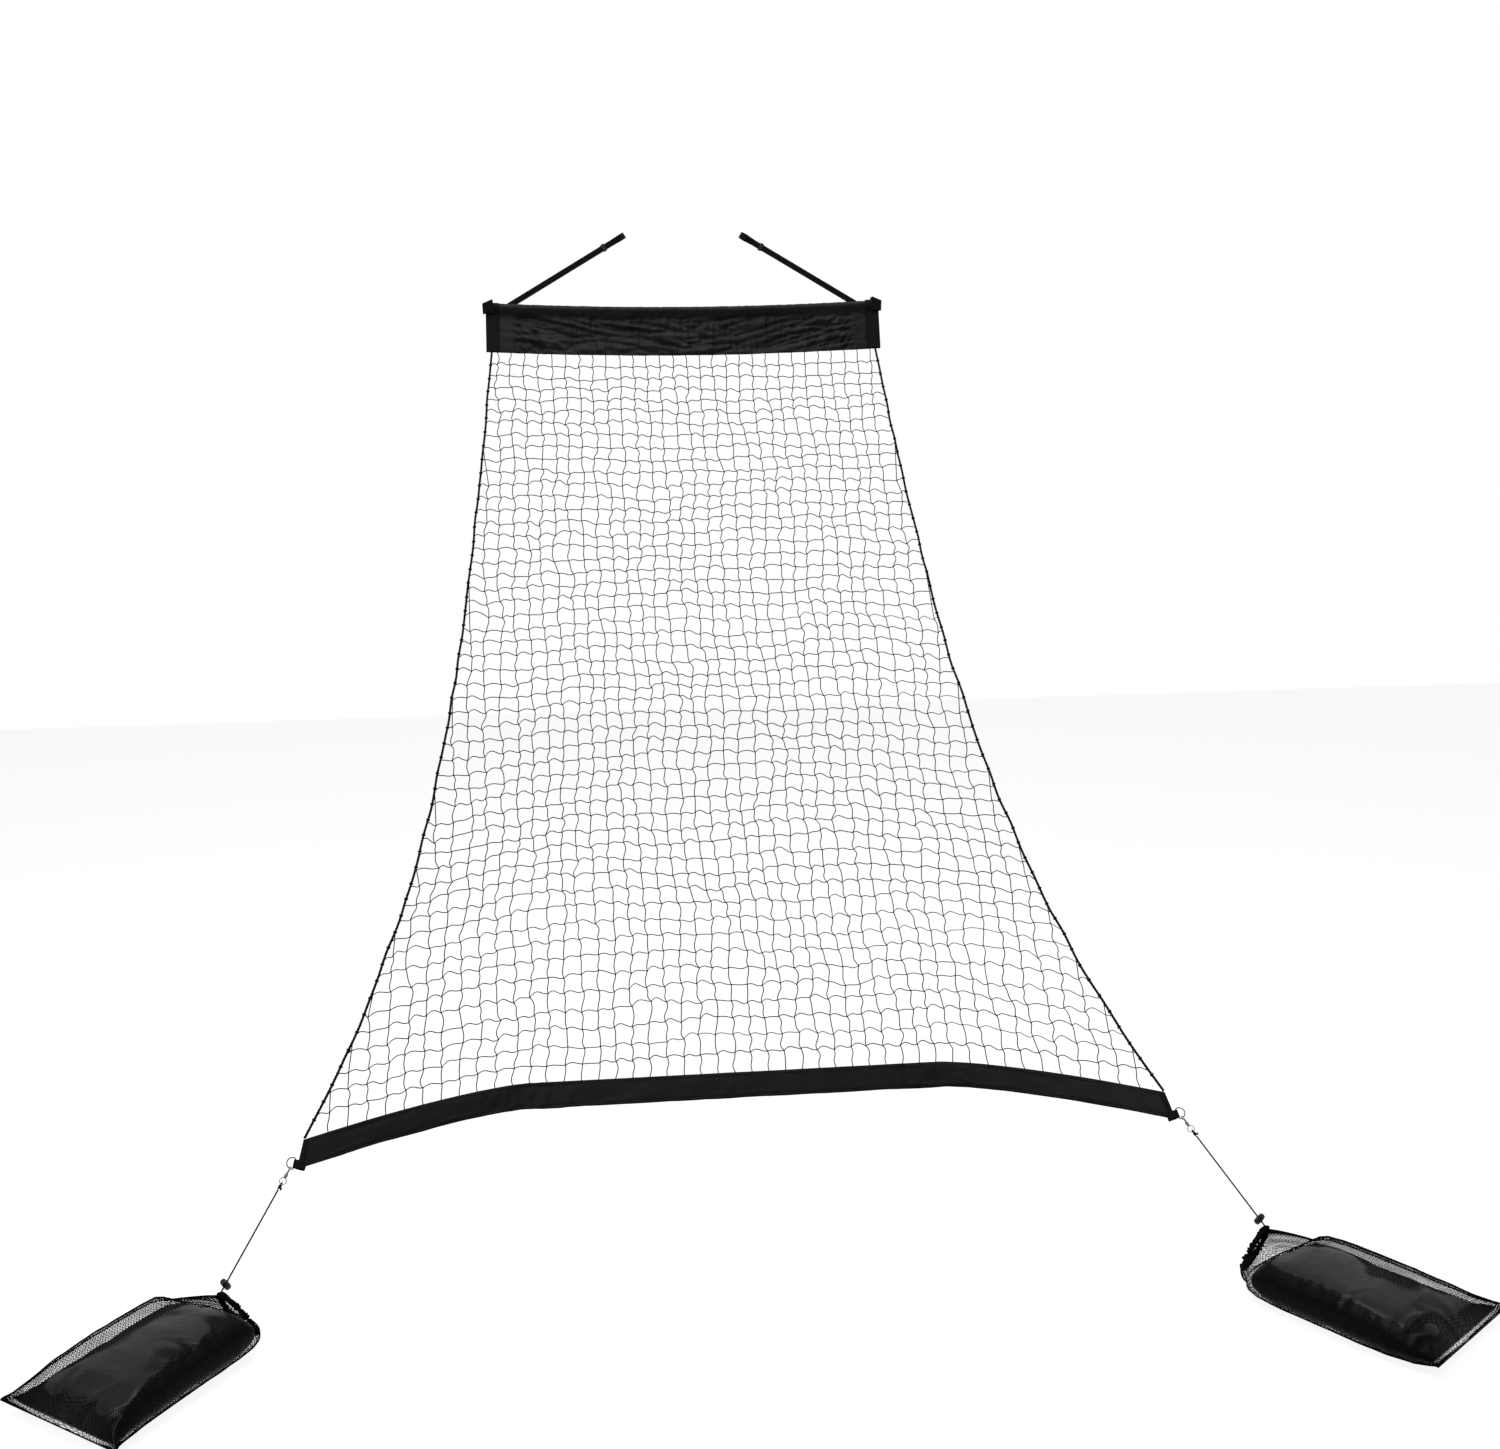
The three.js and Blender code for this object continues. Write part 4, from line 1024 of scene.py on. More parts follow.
WRAPS = 3
WRAP_STEPS = 60
WRAP_LIFT = 1.15  # of the cord's radius, with how much it grows along the knot
WRAP_GROWTH = 0.15
BIGHT_STEPS = 28
TAIL_LEAN = math.radians(80)
TAIL_TWIST = math.radians(35)
TAIL_PARTS = (0.2, 0.5, 0.8, 1.0)
TAIL_SPLAY = 0.0012
TAIL_CURL = 0.001
TAIL_CURL_TURN = 4
KNOT_CORD_SHARE = 0.9


class RETURNNET_OT_knots(PieceOperator):
    """Tie the knots of the leads to the swivel rings"""

    bl_idname = "return_net.knots"
    bl_label = "Lead knots"

    def make(self):
        leads, fittings = sizes("leads"), sizes("fittings")
        ring_far = fittings.swivel_centre + fittings.swivel_radius
        loop_radius = leads.knot_start - ring_far
        for name, side in SIDES.items():
            hook = hook_frame(side)
            bight = arc((ring_far, 0), loop_radius, 0, FULL_TURN, BIGHT_STEPS)[:-1]
            loop = [hook @ Vector((x, y, 0)) for x, y in bight]
            lines = [self.wraps(), self.tail(1), self.tail(-1)]
            placed = [[hook @ point for point in line] for line in lines]
            curve_piece(
                f"knot_{name}", placed, leads.cord * KNOT_CORD_SHARE, DRAW_SIDES, finish_of("cord"),
                f"swivel_{name}", "lead_cord", f"lead_knot_{name}",
            )
            curve_piece(
                f"knot_loop_{name}", [loop], leads.cord, DRAW_SIDES, finish_of("cord"),
                f"swivel_{name}", "lead_cord", cyclic=True,
            )

    def wraps(self):
        """The cord wound round itself."""
        leads = sizes("leads")
        radius = leads.cord / 2
        first = leads.knot_start - radius / 2
        last = leads.knot_start + leads.knot_length - radius
        points = []
        for i in range(WRAP_STEPS + 1):
            turn = FULL_TURN * WRAPS * i / WRAP_STEPS
            lift = radius * (WRAP_LIFT + WRAP_GROWTH * math.sin(turn / WRAPS))
            place = mix(first, last, i / WRAP_STEPS)
            points.append(Vector((place, lift * math.cos(turn), lift * math.sin(turn))))
        return points

    def tail(self, way):
        """One of the knot's two loose ends."""
        leads = sizes("leads")
        middle = leads.knot_start + leads.knot_length / 2
        twist = way * TAIL_TWIST
        points = []
        for part in TAIL_PARTS:
            out = leads.knot_tail * part
            curl = TAIL_CURL * math.sin(TAIL_CURL_TURN * part)
            points.append(Vector((
                middle + out * math.cos(TAIL_LEAN) - TAIL_SPLAY * part * way,
                way * out * math.sin(TAIL_LEAN) * math.cos(twist),
                way * out * math.sin(TAIL_LEAN) * math.sin(twist) + curl,
            )))
        return points


SLEEVE_ARC_STEPS = 14
SLEEVE_ARC = (math.radians(205), math.radians(-25))
SKIRT_STEPS = 20


def sleeve_profile(extra):
    """The sleeve's section, from its front lower edge over the bar to its back lower edge."""
    sleeve = sizes("sleeve")
    radius = sleeve.radius + extra
    gap = sleeve.gap + extra
    shoulder = 2 * sleeve.radius
    over = arc((0, 0), radius, *SLEEVE_ARC, SLEEVE_ARC_STEPS)
    front = [(-gap, -mix(sleeve.reach, shoulder, i / SKIRT_STEPS)) for i in range(SKIRT_STEPS + 1)]
    back = [(gap, -mix(shoulder, sleeve.reach, i / SKIRT_STEPS)) for i in range(SKIRT_STEPS + 1)]
    return front + over + back


PROFILE_NEARBY = 0.004


def profile_at(points, part):
    """The point of a profile at a share of its length, with its outward direction and the whole length."""
    flat = np.array(points)
    run = np.concatenate([[0], np.cumsum(np.linalg.norm(np.diff(flat, axis=0), axis=1))])
    at = part * run[-1]

    def point_at(where):
        return [float(np.interp(where, run, flat[:, k])) for k in (0, 1)]

    before, after = point_at(at - PROFILE_NEARBY), point_at(at + PROFILE_NEARBY)
    way = Vector((after[0] - before[0], after[1] - before[1])).normalized()
    return point_at(at), (-way.y, way.x), float(run[-1])


def on_sleeve(x, y, z):
    """Turns a point of the sleeve's section to its place on the object."""
    sleeve, bar = sizes("sleeve"), sizes("bar")
    sin, cos = math.sin(sleeve.tilt), math.cos(sleeve.tilt)
    return Vector((x, y * cos + z * sin - bar.forward, z * cos - y * sin - bar.drop - bow_at(x)))


def fade(value, start, end):
    """0 up to the start, 1 from the end on, and smooth between."""
    part = min(1, max(0, (value - start) / (end - start)))
    return part * part * (3 - 2 * part)


def ridge(along, across, seed):
    """Sharp crests that run along, from about -0.4 to 1."""
    return 1 - 2 * math.sqrt(abs(noise.noise(Vector((along, across, seed)))))


# How much each kind of crease counts, how many pitches it is long and wide, and the seed of its noise
DRIFT_SHARE = 0.7
DRIFT_SCALES = (3, 9)
LONG_SHARE = 0.7
LONG_PITCHES = 7
LONG_SEED = 11
FINE_SHARE = 0.3
FINE_PITCHES = (1.6, 0.5)
FINE_SEED = 23
SHORT_SHARE = 0.6
SHORT_PITCHES = (2.6, 0.8)
SHORT_WAY = (0.8, 0.6)
SHORT_SEED = 37


def creases(x, z, pitch, climb_share, crossing, seed):
    """Height of the creases of a cloth: long ones that climb towards its ends, and short ones across them."""
    drift = DRIFT_SHARE * noise.noise(Vector((x * DRIFT_SCALES[0], z * DRIFT_SCALES[1], seed)))
    climbed = (z - climb_share * abs(x)) / pitch
    long = ridge(x / (LONG_PITCHES * pitch) + drift, climbed + drift, seed + LONG_SEED)
    wide, high = FINE_PITCHES
    fine = noise.noise(Vector((x / (wide * pitch), z / (high * pitch) + drift, seed + FINE_SEED)))
    across = (SHORT_WAY[0] * abs(x) - SHORT_WAY[1] * z) / (SHORT_PITCHES[1] * pitch)
    along = (SHORT_WAY[1] * abs(x) + SHORT_WAY[0] * z) / (SHORT_PITCHES[0] * pitch)
    short = ridge(along + drift, across, seed + SHORT_SEED)
    return LONG_SHARE * long + FINE_SHARE * fine + SHORT_SHARE * crossing * short


CLOTH_STEPS = (300, 96)
BAND_STEPS = (18, 96)
CLOTH_STITCH_STEPS = 240
CLOTH_STITCH_SHARE = 0.995
BAND_STITCH_STEPS = 60
FOLD_SEED = 3.0


class RETURNNET_OT_sleeve(PieceOperator):
    """Make the cloth sleeve, its end bands and the pockets over the ends of the bar"""

    bl_idname = "return_net.sleeve"
    bl_label = "Sleeve"

    def make(self):
        self.make_cloth()
        for name, side in SIDES.items():
            self.make_band(name, side)
            self.make_pocket(name, side)

    def cloth_point(self, profile, x, v):
        sleeve = sizes("sleeve")
        (y, z), out, _ = profile_at(profile, v)
        hang = fade(-z, sleeve.radius, 3 * sleeve.radius)
        hem_hold = fade(sleeve.reach + z, 0, 0.02)
        pulled = fade(abs(x), 0.35 * sleeve.half_length, sleeve.half_length)
        seam = sleeve.half_length - sleeve.band_length
        sewn = 1 - fade(abs(x), seam - sleeve.fold_pitch, seam)
        folds = creases(x, z, sleeve.fold_pitch, sleeve.fold_climb, pulled, FOLD_SEED) * mix(0.15, 1, sewn)
        billow = 0.004 * noise.noise(Vector((x * 4.2, z * 6, 5))) * hang
        upright = noise.noise(Vector((x / sleeve.pucker_pitch, z * 12, 9))) * (1 - pulled)
        over_bar = 0.0011 * (1 - hang) * noise.noise(Vector((x / sleeve.pucker_pitch, v * 20, 12)))
        depth = sleeve.fold_depth
        y += (folds + 0.45 * upright) * depth * hang * mix(0.3, 1, hem_hold) + billow + out[0] * over_bar
        z += out[1] * over_bar
        return on_sleeve(x, y, z)

    def make_cloth(self):
        sleeve = sizes("sleeve")
        profile = sleeve_profile(0)
        run = profile_at(profile, 0)[2]
        span = 2 * sleeve.half_length

        def place(u, v):
            return self.cloth_point(profile, mix(-sleeve.half_length, sleeve.half_length, u), v)

        obj = surface("sleeve_cloth", place, *CLOTH_STEPS, (span, run))
        thicken(obj, sleeve.cloth, -1)
        finish_piece(obj, finish_of("sleeve_cloth"), "root", "header_fabric", "header_sleeve")
        for row, label in ((0.008, "lower"), (sleeve.reach - 2.2 * sleeve.radius, "upper")):
            line = []
            for i in range(CLOTH_STITCH_STEPS + 1):
                x = mix(-sleeve.half_length, sleeve.half_length, i / CLOTH_STITCH_STEPS) * CLOTH_STITCH_SHARE
                line.append(self.cloth_point(profile, x, row / run) + Vector((0, -0.0009, 0)))
            stitches(f"sleeve_stitches_{label}", line, Vector((0, -1, 0)))

    def make_band(self, name, side):
        sleeve = sizes("sleeve")
        profile = sleeve_profile(sleeve.band_proud)
        run = profile_at(profile, 0)[2]
        start = sleeve.half_length

        def place(u, v):
            x = side * mix(start - 0.001, start + sleeve.band_length, u)
            edge = 1 + 0.25 * math.cos(FULL_TURN * u) ** 8
            (y, z), out, _ = profile_at(profile, v)
            wave = 0.0008 * noise.noise(Vector((x * 30, z * 25, 9)))
            lift = 0.0007 * edge
            return on_sleeve(x, y + out[0] * lift + wave, z + out[1] * lift)

        obj = surface(f"sleeve_end_band_{name}", place, *BAND_STEPS, (sleeve.band_length, run))
        thicken(obj, 0.0014, 1)
        finish_piece(obj, finish_of("webbing"), "root", "webbing", f"header_panel_{name}")
        for column in (0.1, 0.9):
            heights = [mix(0.01, 0.42, i / BAND_STITCH_STEPS) for i in range(BAND_STITCH_STEPS + 1)]
            line = [place(column, height) + Vector((0, -0.0024, 0)) for height in heights]
            stitches(f"band_stitches_{name}_{int(10 * column)}", line, Vector((0, -1, 0)))

    def make_pocket(self, name, side):
        """Webbing folded over the bar's end, with an upper edge that rises inwards."""
        sleeve, bar = sizes("sleeve"), sizes("bar")
        outward = Vector((side * math.cos(sleeve.pocket_tilt), 0, -math.sin(sleeve.pocket_tilt)))
        origin = Vector((side * bar.half_length, -bar.forward, -bar.drop)) + outward * sleeve.pocket_end
        depth = Vector((0, sleeve.pocket_half, 0))
        up = depth.normalized().cross(outward) * -side
        corner = sleeve.pocket_corner
        inset = sleeve.pocket_half - corner
        high = arc((-corner, inset), corner, math.pi / 2, 0, 6)
        low = arc((-corner, -inset), corner, 0, -math.pi / 2, 6)
        start = sleeve.webbing / 2 - sleeve.pocket_length
        flat = [(start, sleeve.pocket_half), *high, *low, (start, -sleeve.pocket_half)]
        points = spaced([origin + outward * x + Vector((0, y, 0)) for x, y in flat], sleeve.webbing)
        last = len(points) - 1
        half = sleeve.pocket_height / 2

        def place(u, v):
            at = v * last
            first = min(int(at), last - 1)
            point = points[first].lerp(points[first + 1], at - first)
            cut = math.tan(sleeve.pocket_slant) * (outward.dot(point - origin) - start)
            return point + up * mix(-half, half - cut, u)

        obj = surface(f"pocket_{name}", place, 12, last, (sleeve.pocket_height, line_length(points)))
        thicken(obj, sleeve.webbing)
        soften(obj, sleeve.webbing / 4)
        finish_piece(obj, finish_of("webbing"), "root", "webbing", f"bar_pocket_{name}")
        ahead = Vector((0, -sleeve.webbing / 2 - 0.0004, 0))
        for label, row in (("low", 0.08), ("high", 0.92)):
            line = [place(row, v) + ahead for v in np.linspace(0.62, 1, 12)]
            stitches(f"pocket_stitches_{name}_{label}", line, Vector((0, -1, 0)))


class RETURNNET_OT_bar(PieceOperator):
    """Finish the bar, its ferrule and its end caps"""

    bl_idname = "return_net.bar"
    bl_label = "Bar"

    def make(self):
        for node in ("bar_tube_left", "bar_tube_right", "bar_ferrule"):
            self.paint(node, finish_of("steel"))
        for name in SIDES:
            self.paint(f"bar_end_cap_{name}", finish_of("moulded"))

    def paint(self, node, material):
        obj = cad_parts[node]
        obj.data.materials.clear()
        obj.data.materials.append(material)


SLIDE_EDGE = 0.0007
TACK_HALF_SHARE = 0.38
TACK_LIFT = 0.0004
TACK_END = 0.004
TACK_INSET = 0.003
FOOT_TACK_START = 0.028
LOOP_TACK_LENGTH = 0.02
STRAP_STEP = 0.003
LOOP_STEPS = 26


class RETURNNET_OT_straps(PieceOperator):
    """Make the hanging straps with their loops, slides and stitching"""

    bl_idname = "return_net.straps"
    bl_label = "Straps"

    def make(self):
        for name, side in SIDES.items():
            self.make_strap(name, side)
            refined(
                f"strap_slide_{name}", f"slide_{name}", SLIDE_EDGE, finish_of("moulded"),
                f"strap_slide_{name}", "moulded_nylon",
            )

    def make_strap(self, name, side):
        straps, bar = sizes("straps"), sizes("bar")
        turn = strap_frame(side)
        long = math.hypot(straps.foot_x - straps.half_spacing, bar.drop) + straps.foot_tail
        layer = straps.thickness
        loop = arc(
            (straps.loop_radius - layer / 2, layer / 2), straps.loop_radius,
            -straps.loop_opening, straps.loop_opening - FULL_TURN, LOOP_STEPS,
        )
        flat = [(long, 0), (straps.neck, 0)] + loop + [(straps.neck, layer), (straps.doubled, layer)]
        points = spaced([turn @ Vector((x, y, 0)) for x, y in flat], STRAP_STEP)
        width = turn.col[2].to_3d() * straps.width
        ribbon(f"strap_web_{name}", points, width, layer * 0.94, finish_of("webbing"), "root", "webbing",
               f"strap_{name}", across=8)
        half = straps.width * TACK_HALF_SHARE
        near, far = long - FOOT_TACK_START, long - TACK_END
        box = self.tack_box(near, far, half) + [(far, -half), (near, half)]
        self.make_tack(f"foot_tack_{name}", turn, box, -layer / 2 - TACK_LIFT)
        end = straps.doubled - TACK_INSET
        box = self.tack_box(end - LOOP_TACK_LENGTH, end, half)
        self.make_tack(f"loop_tack_{name}", turn, box, 1.5 * layer + TACK_LIFT)

    def tack_box(self, near, far, half):
        """The corners of a tack in the order that they are sewn, round its box and then across it."""
        return [(near, -half), (far, -half), (far, half), (near, half), (near, -half), (far, half)]

    def make_tack(self, name, turn, box, lift):
        line = [turn @ Vector((x, lift, z)) for x, z in box]
        stitches(name, line, turn.col[1].to_3d(), pitch=TACK_PITCH)


# How irregular the netting is: how far its knots lie off, how its bars bow and curl, and where it ends
DRIFT_SIZE = 0.015
PULL_SIZE = 0.014
JITTER_SIZE = 0.0032
EDGE_MARGIN = 0.012
BAR_STEPS = 8
BAR_SIDES = 4
ARCH_WOBBLE = 0.09
COLUMN_ARCH = 0.3
COLUMN_CURL = 0.03
COLUMN_CURL_WOBBLE = 0.035
ROW_ARCH = 0.1
ROW_ARCH_DRIFT = 0.2
ROW_CURL = 0.05
ROW_CURL_WOBBLE = 0.045
EDGE_SEARCH_STEP = 0.002
EDGE_TOP_SHARE = 0.004
KNOT_FLATTENING = (1, 0.8, 0.85, 1)


class RETURNNET_OT_net(PieceOperator):
    """Make the knotted netting from its rows, columns and knots"""

    bl_idname = "return_net.net"
    bl_label = "Netting"

    def make(self):
        self.draw = random.Random(WOBBLE_SEED)
        self.knots = {}
        columns = self.columns()
        rows = self.rows()
        net = sizes("net")
        material = finish_of("twine")
        curve_piece("net_columns", columns, net.twine, BAR_SIDES, material, "root", "net_twine", "return_net")
        curve_piece("net_rows", rows, net.twine, BAR_SIDES, material, "root", "net_twine")
        self.make_knots(material)

    def wobble(self, size):
        return self.draw.uniform(-size, size)

    def on_net(self, x, down):
        """The point of the net that started at x in the cut netting."""
        cut_half = net_half(down, sizes("net").cut_flare_share)
        return net_point(max(-1, min(1, x / cut_half)), down)

    def knot_at(self, column, row):
        """A knot's place, pulled a little out of square by its neighbours."""
        key = (column, row)
        if key not in self.knots:
            net = sizes("net")
            down = row / net.rows
            x = column * net.mesh
            point = self.on_net(x, down)
            hold = min(1, row / 3, (net.rows - row) / 2)
            drift = noise.noise_vector(Vector((x * 2.4, down * 6, 2))) * DRIFT_SIZE
            pull = noise.noise_vector(Vector((x * 11, down * 26, 6))) * PULL_SIZE
            jitter = Vector([self.wobble(JITTER_SIZE) for _ in range(3)])
            self.knots[key] = point + (drift + pull + jitter) * hold
        return self.knots[key]

    def starts_inside(self, column, row):
        net = sizes("net")
        cut_half = net_half(row / net.rows, net.cut_flare_share)
        return abs(column * net.mesh) < cut_half - EDGE_MARGIN

    def bar(self, first, second, side_way, arch, curl):
        """The points of one mesh bar, bowed and curled between its two knots."""
        length_now = (second - first).length
        points = []
        for i in range(BAR_STEPS):
            part = i / BAR_STEPS
            off = arch * math.sin(math.pi * part) + curl * math.sin(FULL_TURN * part)
            points.append(first.lerp(second, part) + side_way * off * length_now)
        return points

    def columns(self):
        net = sizes("net")
        most = int(net_half(1, net.cut_flare_share) / net.mesh)
        lines = []
        for column in range(-most, most + 1):
            inside = [row for row in range(net.rows + 1) if self.starts_inside(column, row)]
            if not inside:
                continue
            points = []
            if inside[0] > 0:
                points.append(self.edge_start(column, inside[0]))
            else:
                points.append(self.knot_at(column, 0) + Vector((0, 0.0012, 0.006)))
            for row in range(inside[0], net.rows):
                first, second = self.knot_at(column, row), self.knot_at(column, row + 1)
                down = row / net.rows
                across = net_axes(max(-1, min(1, first.x / net_half(down))), down)[0]
                bend = 0.5 * noise.noise(Vector((column * 0.31, row * 0.23, 14)))
                arch = bend * COLUMN_ARCH + self.wobble(ARCH_WOBBLE)
                curl = COLUMN_CURL + self.wobble(COLUMN_CURL_WOBBLE)
                points += self.bar(first, second, across, arch, curl)
            points.append(self.knot_at(column, net.rows))
            points.append(points[-1] + (hem_bottom(0) - hem_top(0)).normalized() * 0.006)
            lines.append(points)
        return lines

    def edge_start(self, column, row):
        """Where a column leaves the border rope."""
        net = sizes("net")
        x = abs(column * net.mesh)
        side = math.copysign(1, column)
        down = row / net.rows
        while down > 0 and net_half(down, net.cut_flare_share) > x:
            down -= EDGE_SEARCH_STEP
        return rope_point(side, max(EDGE_TOP_SHARE, down))

    def rows(self):
        net = sizes("net")
        lines = []
        for row in range(1, net.rows):
            down = row / net.rows
            half = net_half(down, net.cut_flare_share)
            most = int((half - EDGE_MARGIN) / net.mesh)
            upward = net_axes(0, down)[1] * -1
            knots = [self.knot_at(column, row) for column in range(-most, most + 1)]
            ends = [rope_point(-1, down), rope_point(1, down)]
            knots = [ends[0]] + knots + [ends[1]]
            points = []
            for i, (first, second) in enumerate(zip(knots, knots[1:])):
                bend = noise.noise(Vector((i * 0.37 + row * 0.11, row * 0.29, 31)))
                arch = ROW_ARCH + ROW_ARCH_DRIFT * bend + self.wobble(ARCH_WOBBLE)
                curl = ROW_CURL + self.wobble(ROW_CURL_WOBBLE)
                points += self.bar(first, second, upward, arch, curl)
            points.append(knots[-1])
            lines.append(points)
        return lines

    def make_knots(self, material):
        net = sizes("net")
        bm = bmesh.new()
        for (column, row), point in sorted(self.knots.items()):
            if row in (0, net.rows) or not self.starts_inside(column, row):
                continue
            turn = Matrix.Rotation(self.draw.uniform(0, math.pi), 4, "Y")
            flat = Matrix.Diagonal(KNOT_FLATTENING)
            bmesh.ops.create_icosphere(
                bm, subdivisions=1, radius=net.knot / 2, matrix=Matrix.Translation(point) @ turn @ flat
            )
        obj = from_bmesh("net_knots", bm)
        finish_piece(obj, material, "root", "net_twine")


ROPE_STEPS = 160
ROPE_WAVE = 0.005
ROPE_END = 0.004
TURN_PARTS = 8  # steps in one turn of the rope's strands
STRAND_SHARE = 0.54
STRAND_SIDES = 6
STRAND_PLACE_SHARE = 0.245
LASHING_TURNS = 1.5
LASHING_STEPS = 12


class RETURNNET_OT_ropes(PieceOperator):
    """Lay the border ropes and lash the netting to them"""

    bl_idname = "return_net.ropes"
    bl_label = "Border ropes"

    def make(self):
        net = sizes("net")
        for name, side in SIDES.items():
            centre = self.centre_line(side)
            strands = [self.strand(centre, turn) for turn in (0, FULL_TURN / 3, 2 * FULL_TURN / 3)]
            curve_piece(
                f"rope_{name}", strands, net.rope * STRAND_SHARE, STRAND_SIDES, finish_of("rope"), "root",
                "net_twine", f"border_rope_{name}",
            )
            self.make_lashings(name, centre)

    def centre_line(self, side):
        net = sizes("net")
        coarse = []
        for i in range(ROPE_STEPS + 1):
            down = i / ROPE_STEPS
            hold = min(1, 8 * down, 8 * (1 - down))
            wave = noise.noise_vector(Vector((down * 24, side * 3, 4))) * ROPE_WAVE * hold
            coarse.append(rope_point(side, down) + wave)
        coarse.insert(0, coarse[0] + (coarse[0] - coarse[1]).normalized() * ROPE_END)
        coarse.append(coarse[-1] + (coarse[-1] - coarse[-2]).normalized() * ROPE_END)
        return spaced(coarse, net.rope_pitch / TURN_PARTS)

    def strand(self, centre, start):
        net = sizes("net")
        points = []
        for i, point in enumerate(centre):
            before, after = centre[max(0, i - 1)], centre[min(len(centre) - 1, i + 1)]
            way = (after - before).normalized()
            side = way.cross(Vector((0, 1, 0))).normalized()
            up = side.cross(way)
            turn = start + FULL_TURN * i / TURN_PARTS
            outward = side * math.cos(turn) + up * math.sin(turn)
            points.append(point + outward * net.rope * STRAND_PLACE_SHARE)
        return points

    def make_lashings(self, name, centre):
        """A half hitch of twine round the rope at each row."""
        net = sizes("net")
        loops = []
        for row in range(1, net.rows):
            at = row / net.rows * (len(centre) - 1)
            i = min(len(centre) - 2, int(at))
            way = (centre[i + 1] - centre[i]).normalized()
            across = way.cross(Vector((0, 1, 0))).normalized()
            up = across.cross(way)
            points = []
            for k in range(LASHING_STEPS + 1):
                turn = FULL_TURN * LASHING_TURNS * k / LASHING_STEPS
                ring = (across * math.cos(turn) + up * math.sin(turn)) * (net.rope / 2 + net.twine * 0.35)
                run = LASHING_TURNS * k / LASHING_STEPS - LASHING_TURNS / 2
                points.append(centre[i] + ring + way * net.twine * run)
            loops.append(points)
        curve_piece(f"lashings_{name}", loops, net.twine * 0.9, 4, finish_of("twine"), "root", "net_twine")


BINDING_WIDTH = 0.016
BINDING_THICKNESS = 0.0012
BINDING_STEPS = 14
HEM_STEPS = (420, 40)
HEM_STITCH_STEPS = 400
HEM_STITCH_SHARE = 0.98
HEM_STITCH_LIFT = 0.0008


class RETURNNET_OT_hem(PieceOperator):
    """Make the folded hem band with its stitching"""

    bl_idname = "return_net.hem"
    bl_label = "Hem band"

    def make(self):
        hem = sizes("hem")
        around = 2 * (hem.height + 2 * hem.half_thickness)

        def place(u, v):
            return self.band_point(mix(-1, 1, u), v)

        obj = surface("hem_cloth", place, *HEM_STEPS, (2 * hem.half_width, around))
        thicken(obj, hem.cloth, -1)
        finish_piece(obj, finish_of("hem_cloth"), "root", "hem_fabric", "hem_band")
        out = hem_normal(0)
        for label, height in (("top", 0.12), ("bottom", 0.86)):
            front = self.on_front(height)
            line = []
            for i in range(HEM_STITCH_STEPS + 1):
                across = mix(-HEM_STITCH_SHARE, HEM_STITCH_SHARE, i / HEM_STITCH_STEPS)
                line.append(self.band_point(across, front) + out * HEM_STITCH_LIFT)
            stitches(f"hem_stitches_{label}", line, out)
        for name, side in SIDES.items():
            self.make_binding(name, side)

    def on_front(self, height_share):
        """Where a height on the front of the band lies along its cloth."""
        level = 1 - 2 * height_share
        return 1 - math.acos(math.copysign(level * level, level)) / FULL_TURN

    def band_point(self, across, v):
        """A point round the folded band: v goes from its top edge down its back and up its front."""
        hem = sizes("hem")
        turn = FULL_TURN * v
        height_share = 0.5 - 0.5 * math.copysign(abs(math.cos(turn)) ** 0.5, math.cos(turn))
        face = -math.copysign(abs(math.sin(turn)) ** 0.35, math.sin(turn))
        top, bottom = hem_top(across), hem_bottom(across)
        out = hem_normal(across)
        x = across * hem.half_width
        down = height_share * (top - bottom).length
        gather = sum(
            math.exp(-((x - centre) / hem.pucker_span) ** 2) for centre in (hem.pucker_left, hem.pucker_right)
        )
        near_end = 1 - fade(hem.half_width - abs(x), hem.sewn_end, 3 * hem.sewn_end)
        pleat = noise.noise(Vector((x * 46, down * 9, 3))) * 0.004 * gather
        folds = creases(x, down, 0.024, 0.1, gather, 17.0) * mix(0.0026, 0.0044, min(1, gather))
        billow = noise.noise(Vector((x * 5, down * 7, 12))) * 0.004
        free = math.sin(math.pi * height_share) ** 0.5
        thickness = hem.half_thickness * mix(1, 0.8, near_end)
        broad_edge = noise.noise(Vector((x * 9, 2, 8))) * 0.0022
        edge = broad_edge + noise.noise(Vector((x * 31, 5, 8))) * 0.0012 * (0.4 + gather)
        point = bottom.lerp(top, 1 - height_share)
        point += out * (face * thickness + (pleat + folds + billow) * mix(0.3, 1, free) * (1 - near_end))
        point += (bottom - top).normalized() * edge * height_share
        return point

    def make_binding(self, name, side):
        """Webbing folded over the end of the band."""
        hem = sizes("hem")
        inset = side * (1 - BINDING_WIDTH / 2 / hem.half_width)
        points = []
        for i in range(BINDING_STEPS + 1):
            part = mix(0.04, 0.96, i / BINDING_STEPS)
            point = hem_top(inset).lerp(hem_bottom(inset), part)
            points.append(point + hem_normal(inset) * (hem.half_thickness * 0.9 + 0.0009))
        along = hem_along(side).normalized() * BINDING_WIDTH
        ribbon(
            f"hem_binding_{name}", points, along, BINDING_THICKNESS, finish_of("webbing"), "root", "webbing",
            across=4,
        )


TAB_WRAP = math.radians(125)

# Rigid nodes that are softened: the node, its piece, the width of its edges and the body that it rides on
REFINED_FITTINGS = (
    ("snap_hook", "hook", 0.00045, "snap_hook"),
    ("hook_gate", "gate", 0.00025, "hook_gate"),
    ("gate_pin", "pin", 0.0002, "snap_hook"),
    ("gate_spring", "torsion", 0.0001, "snap_hook"),
)


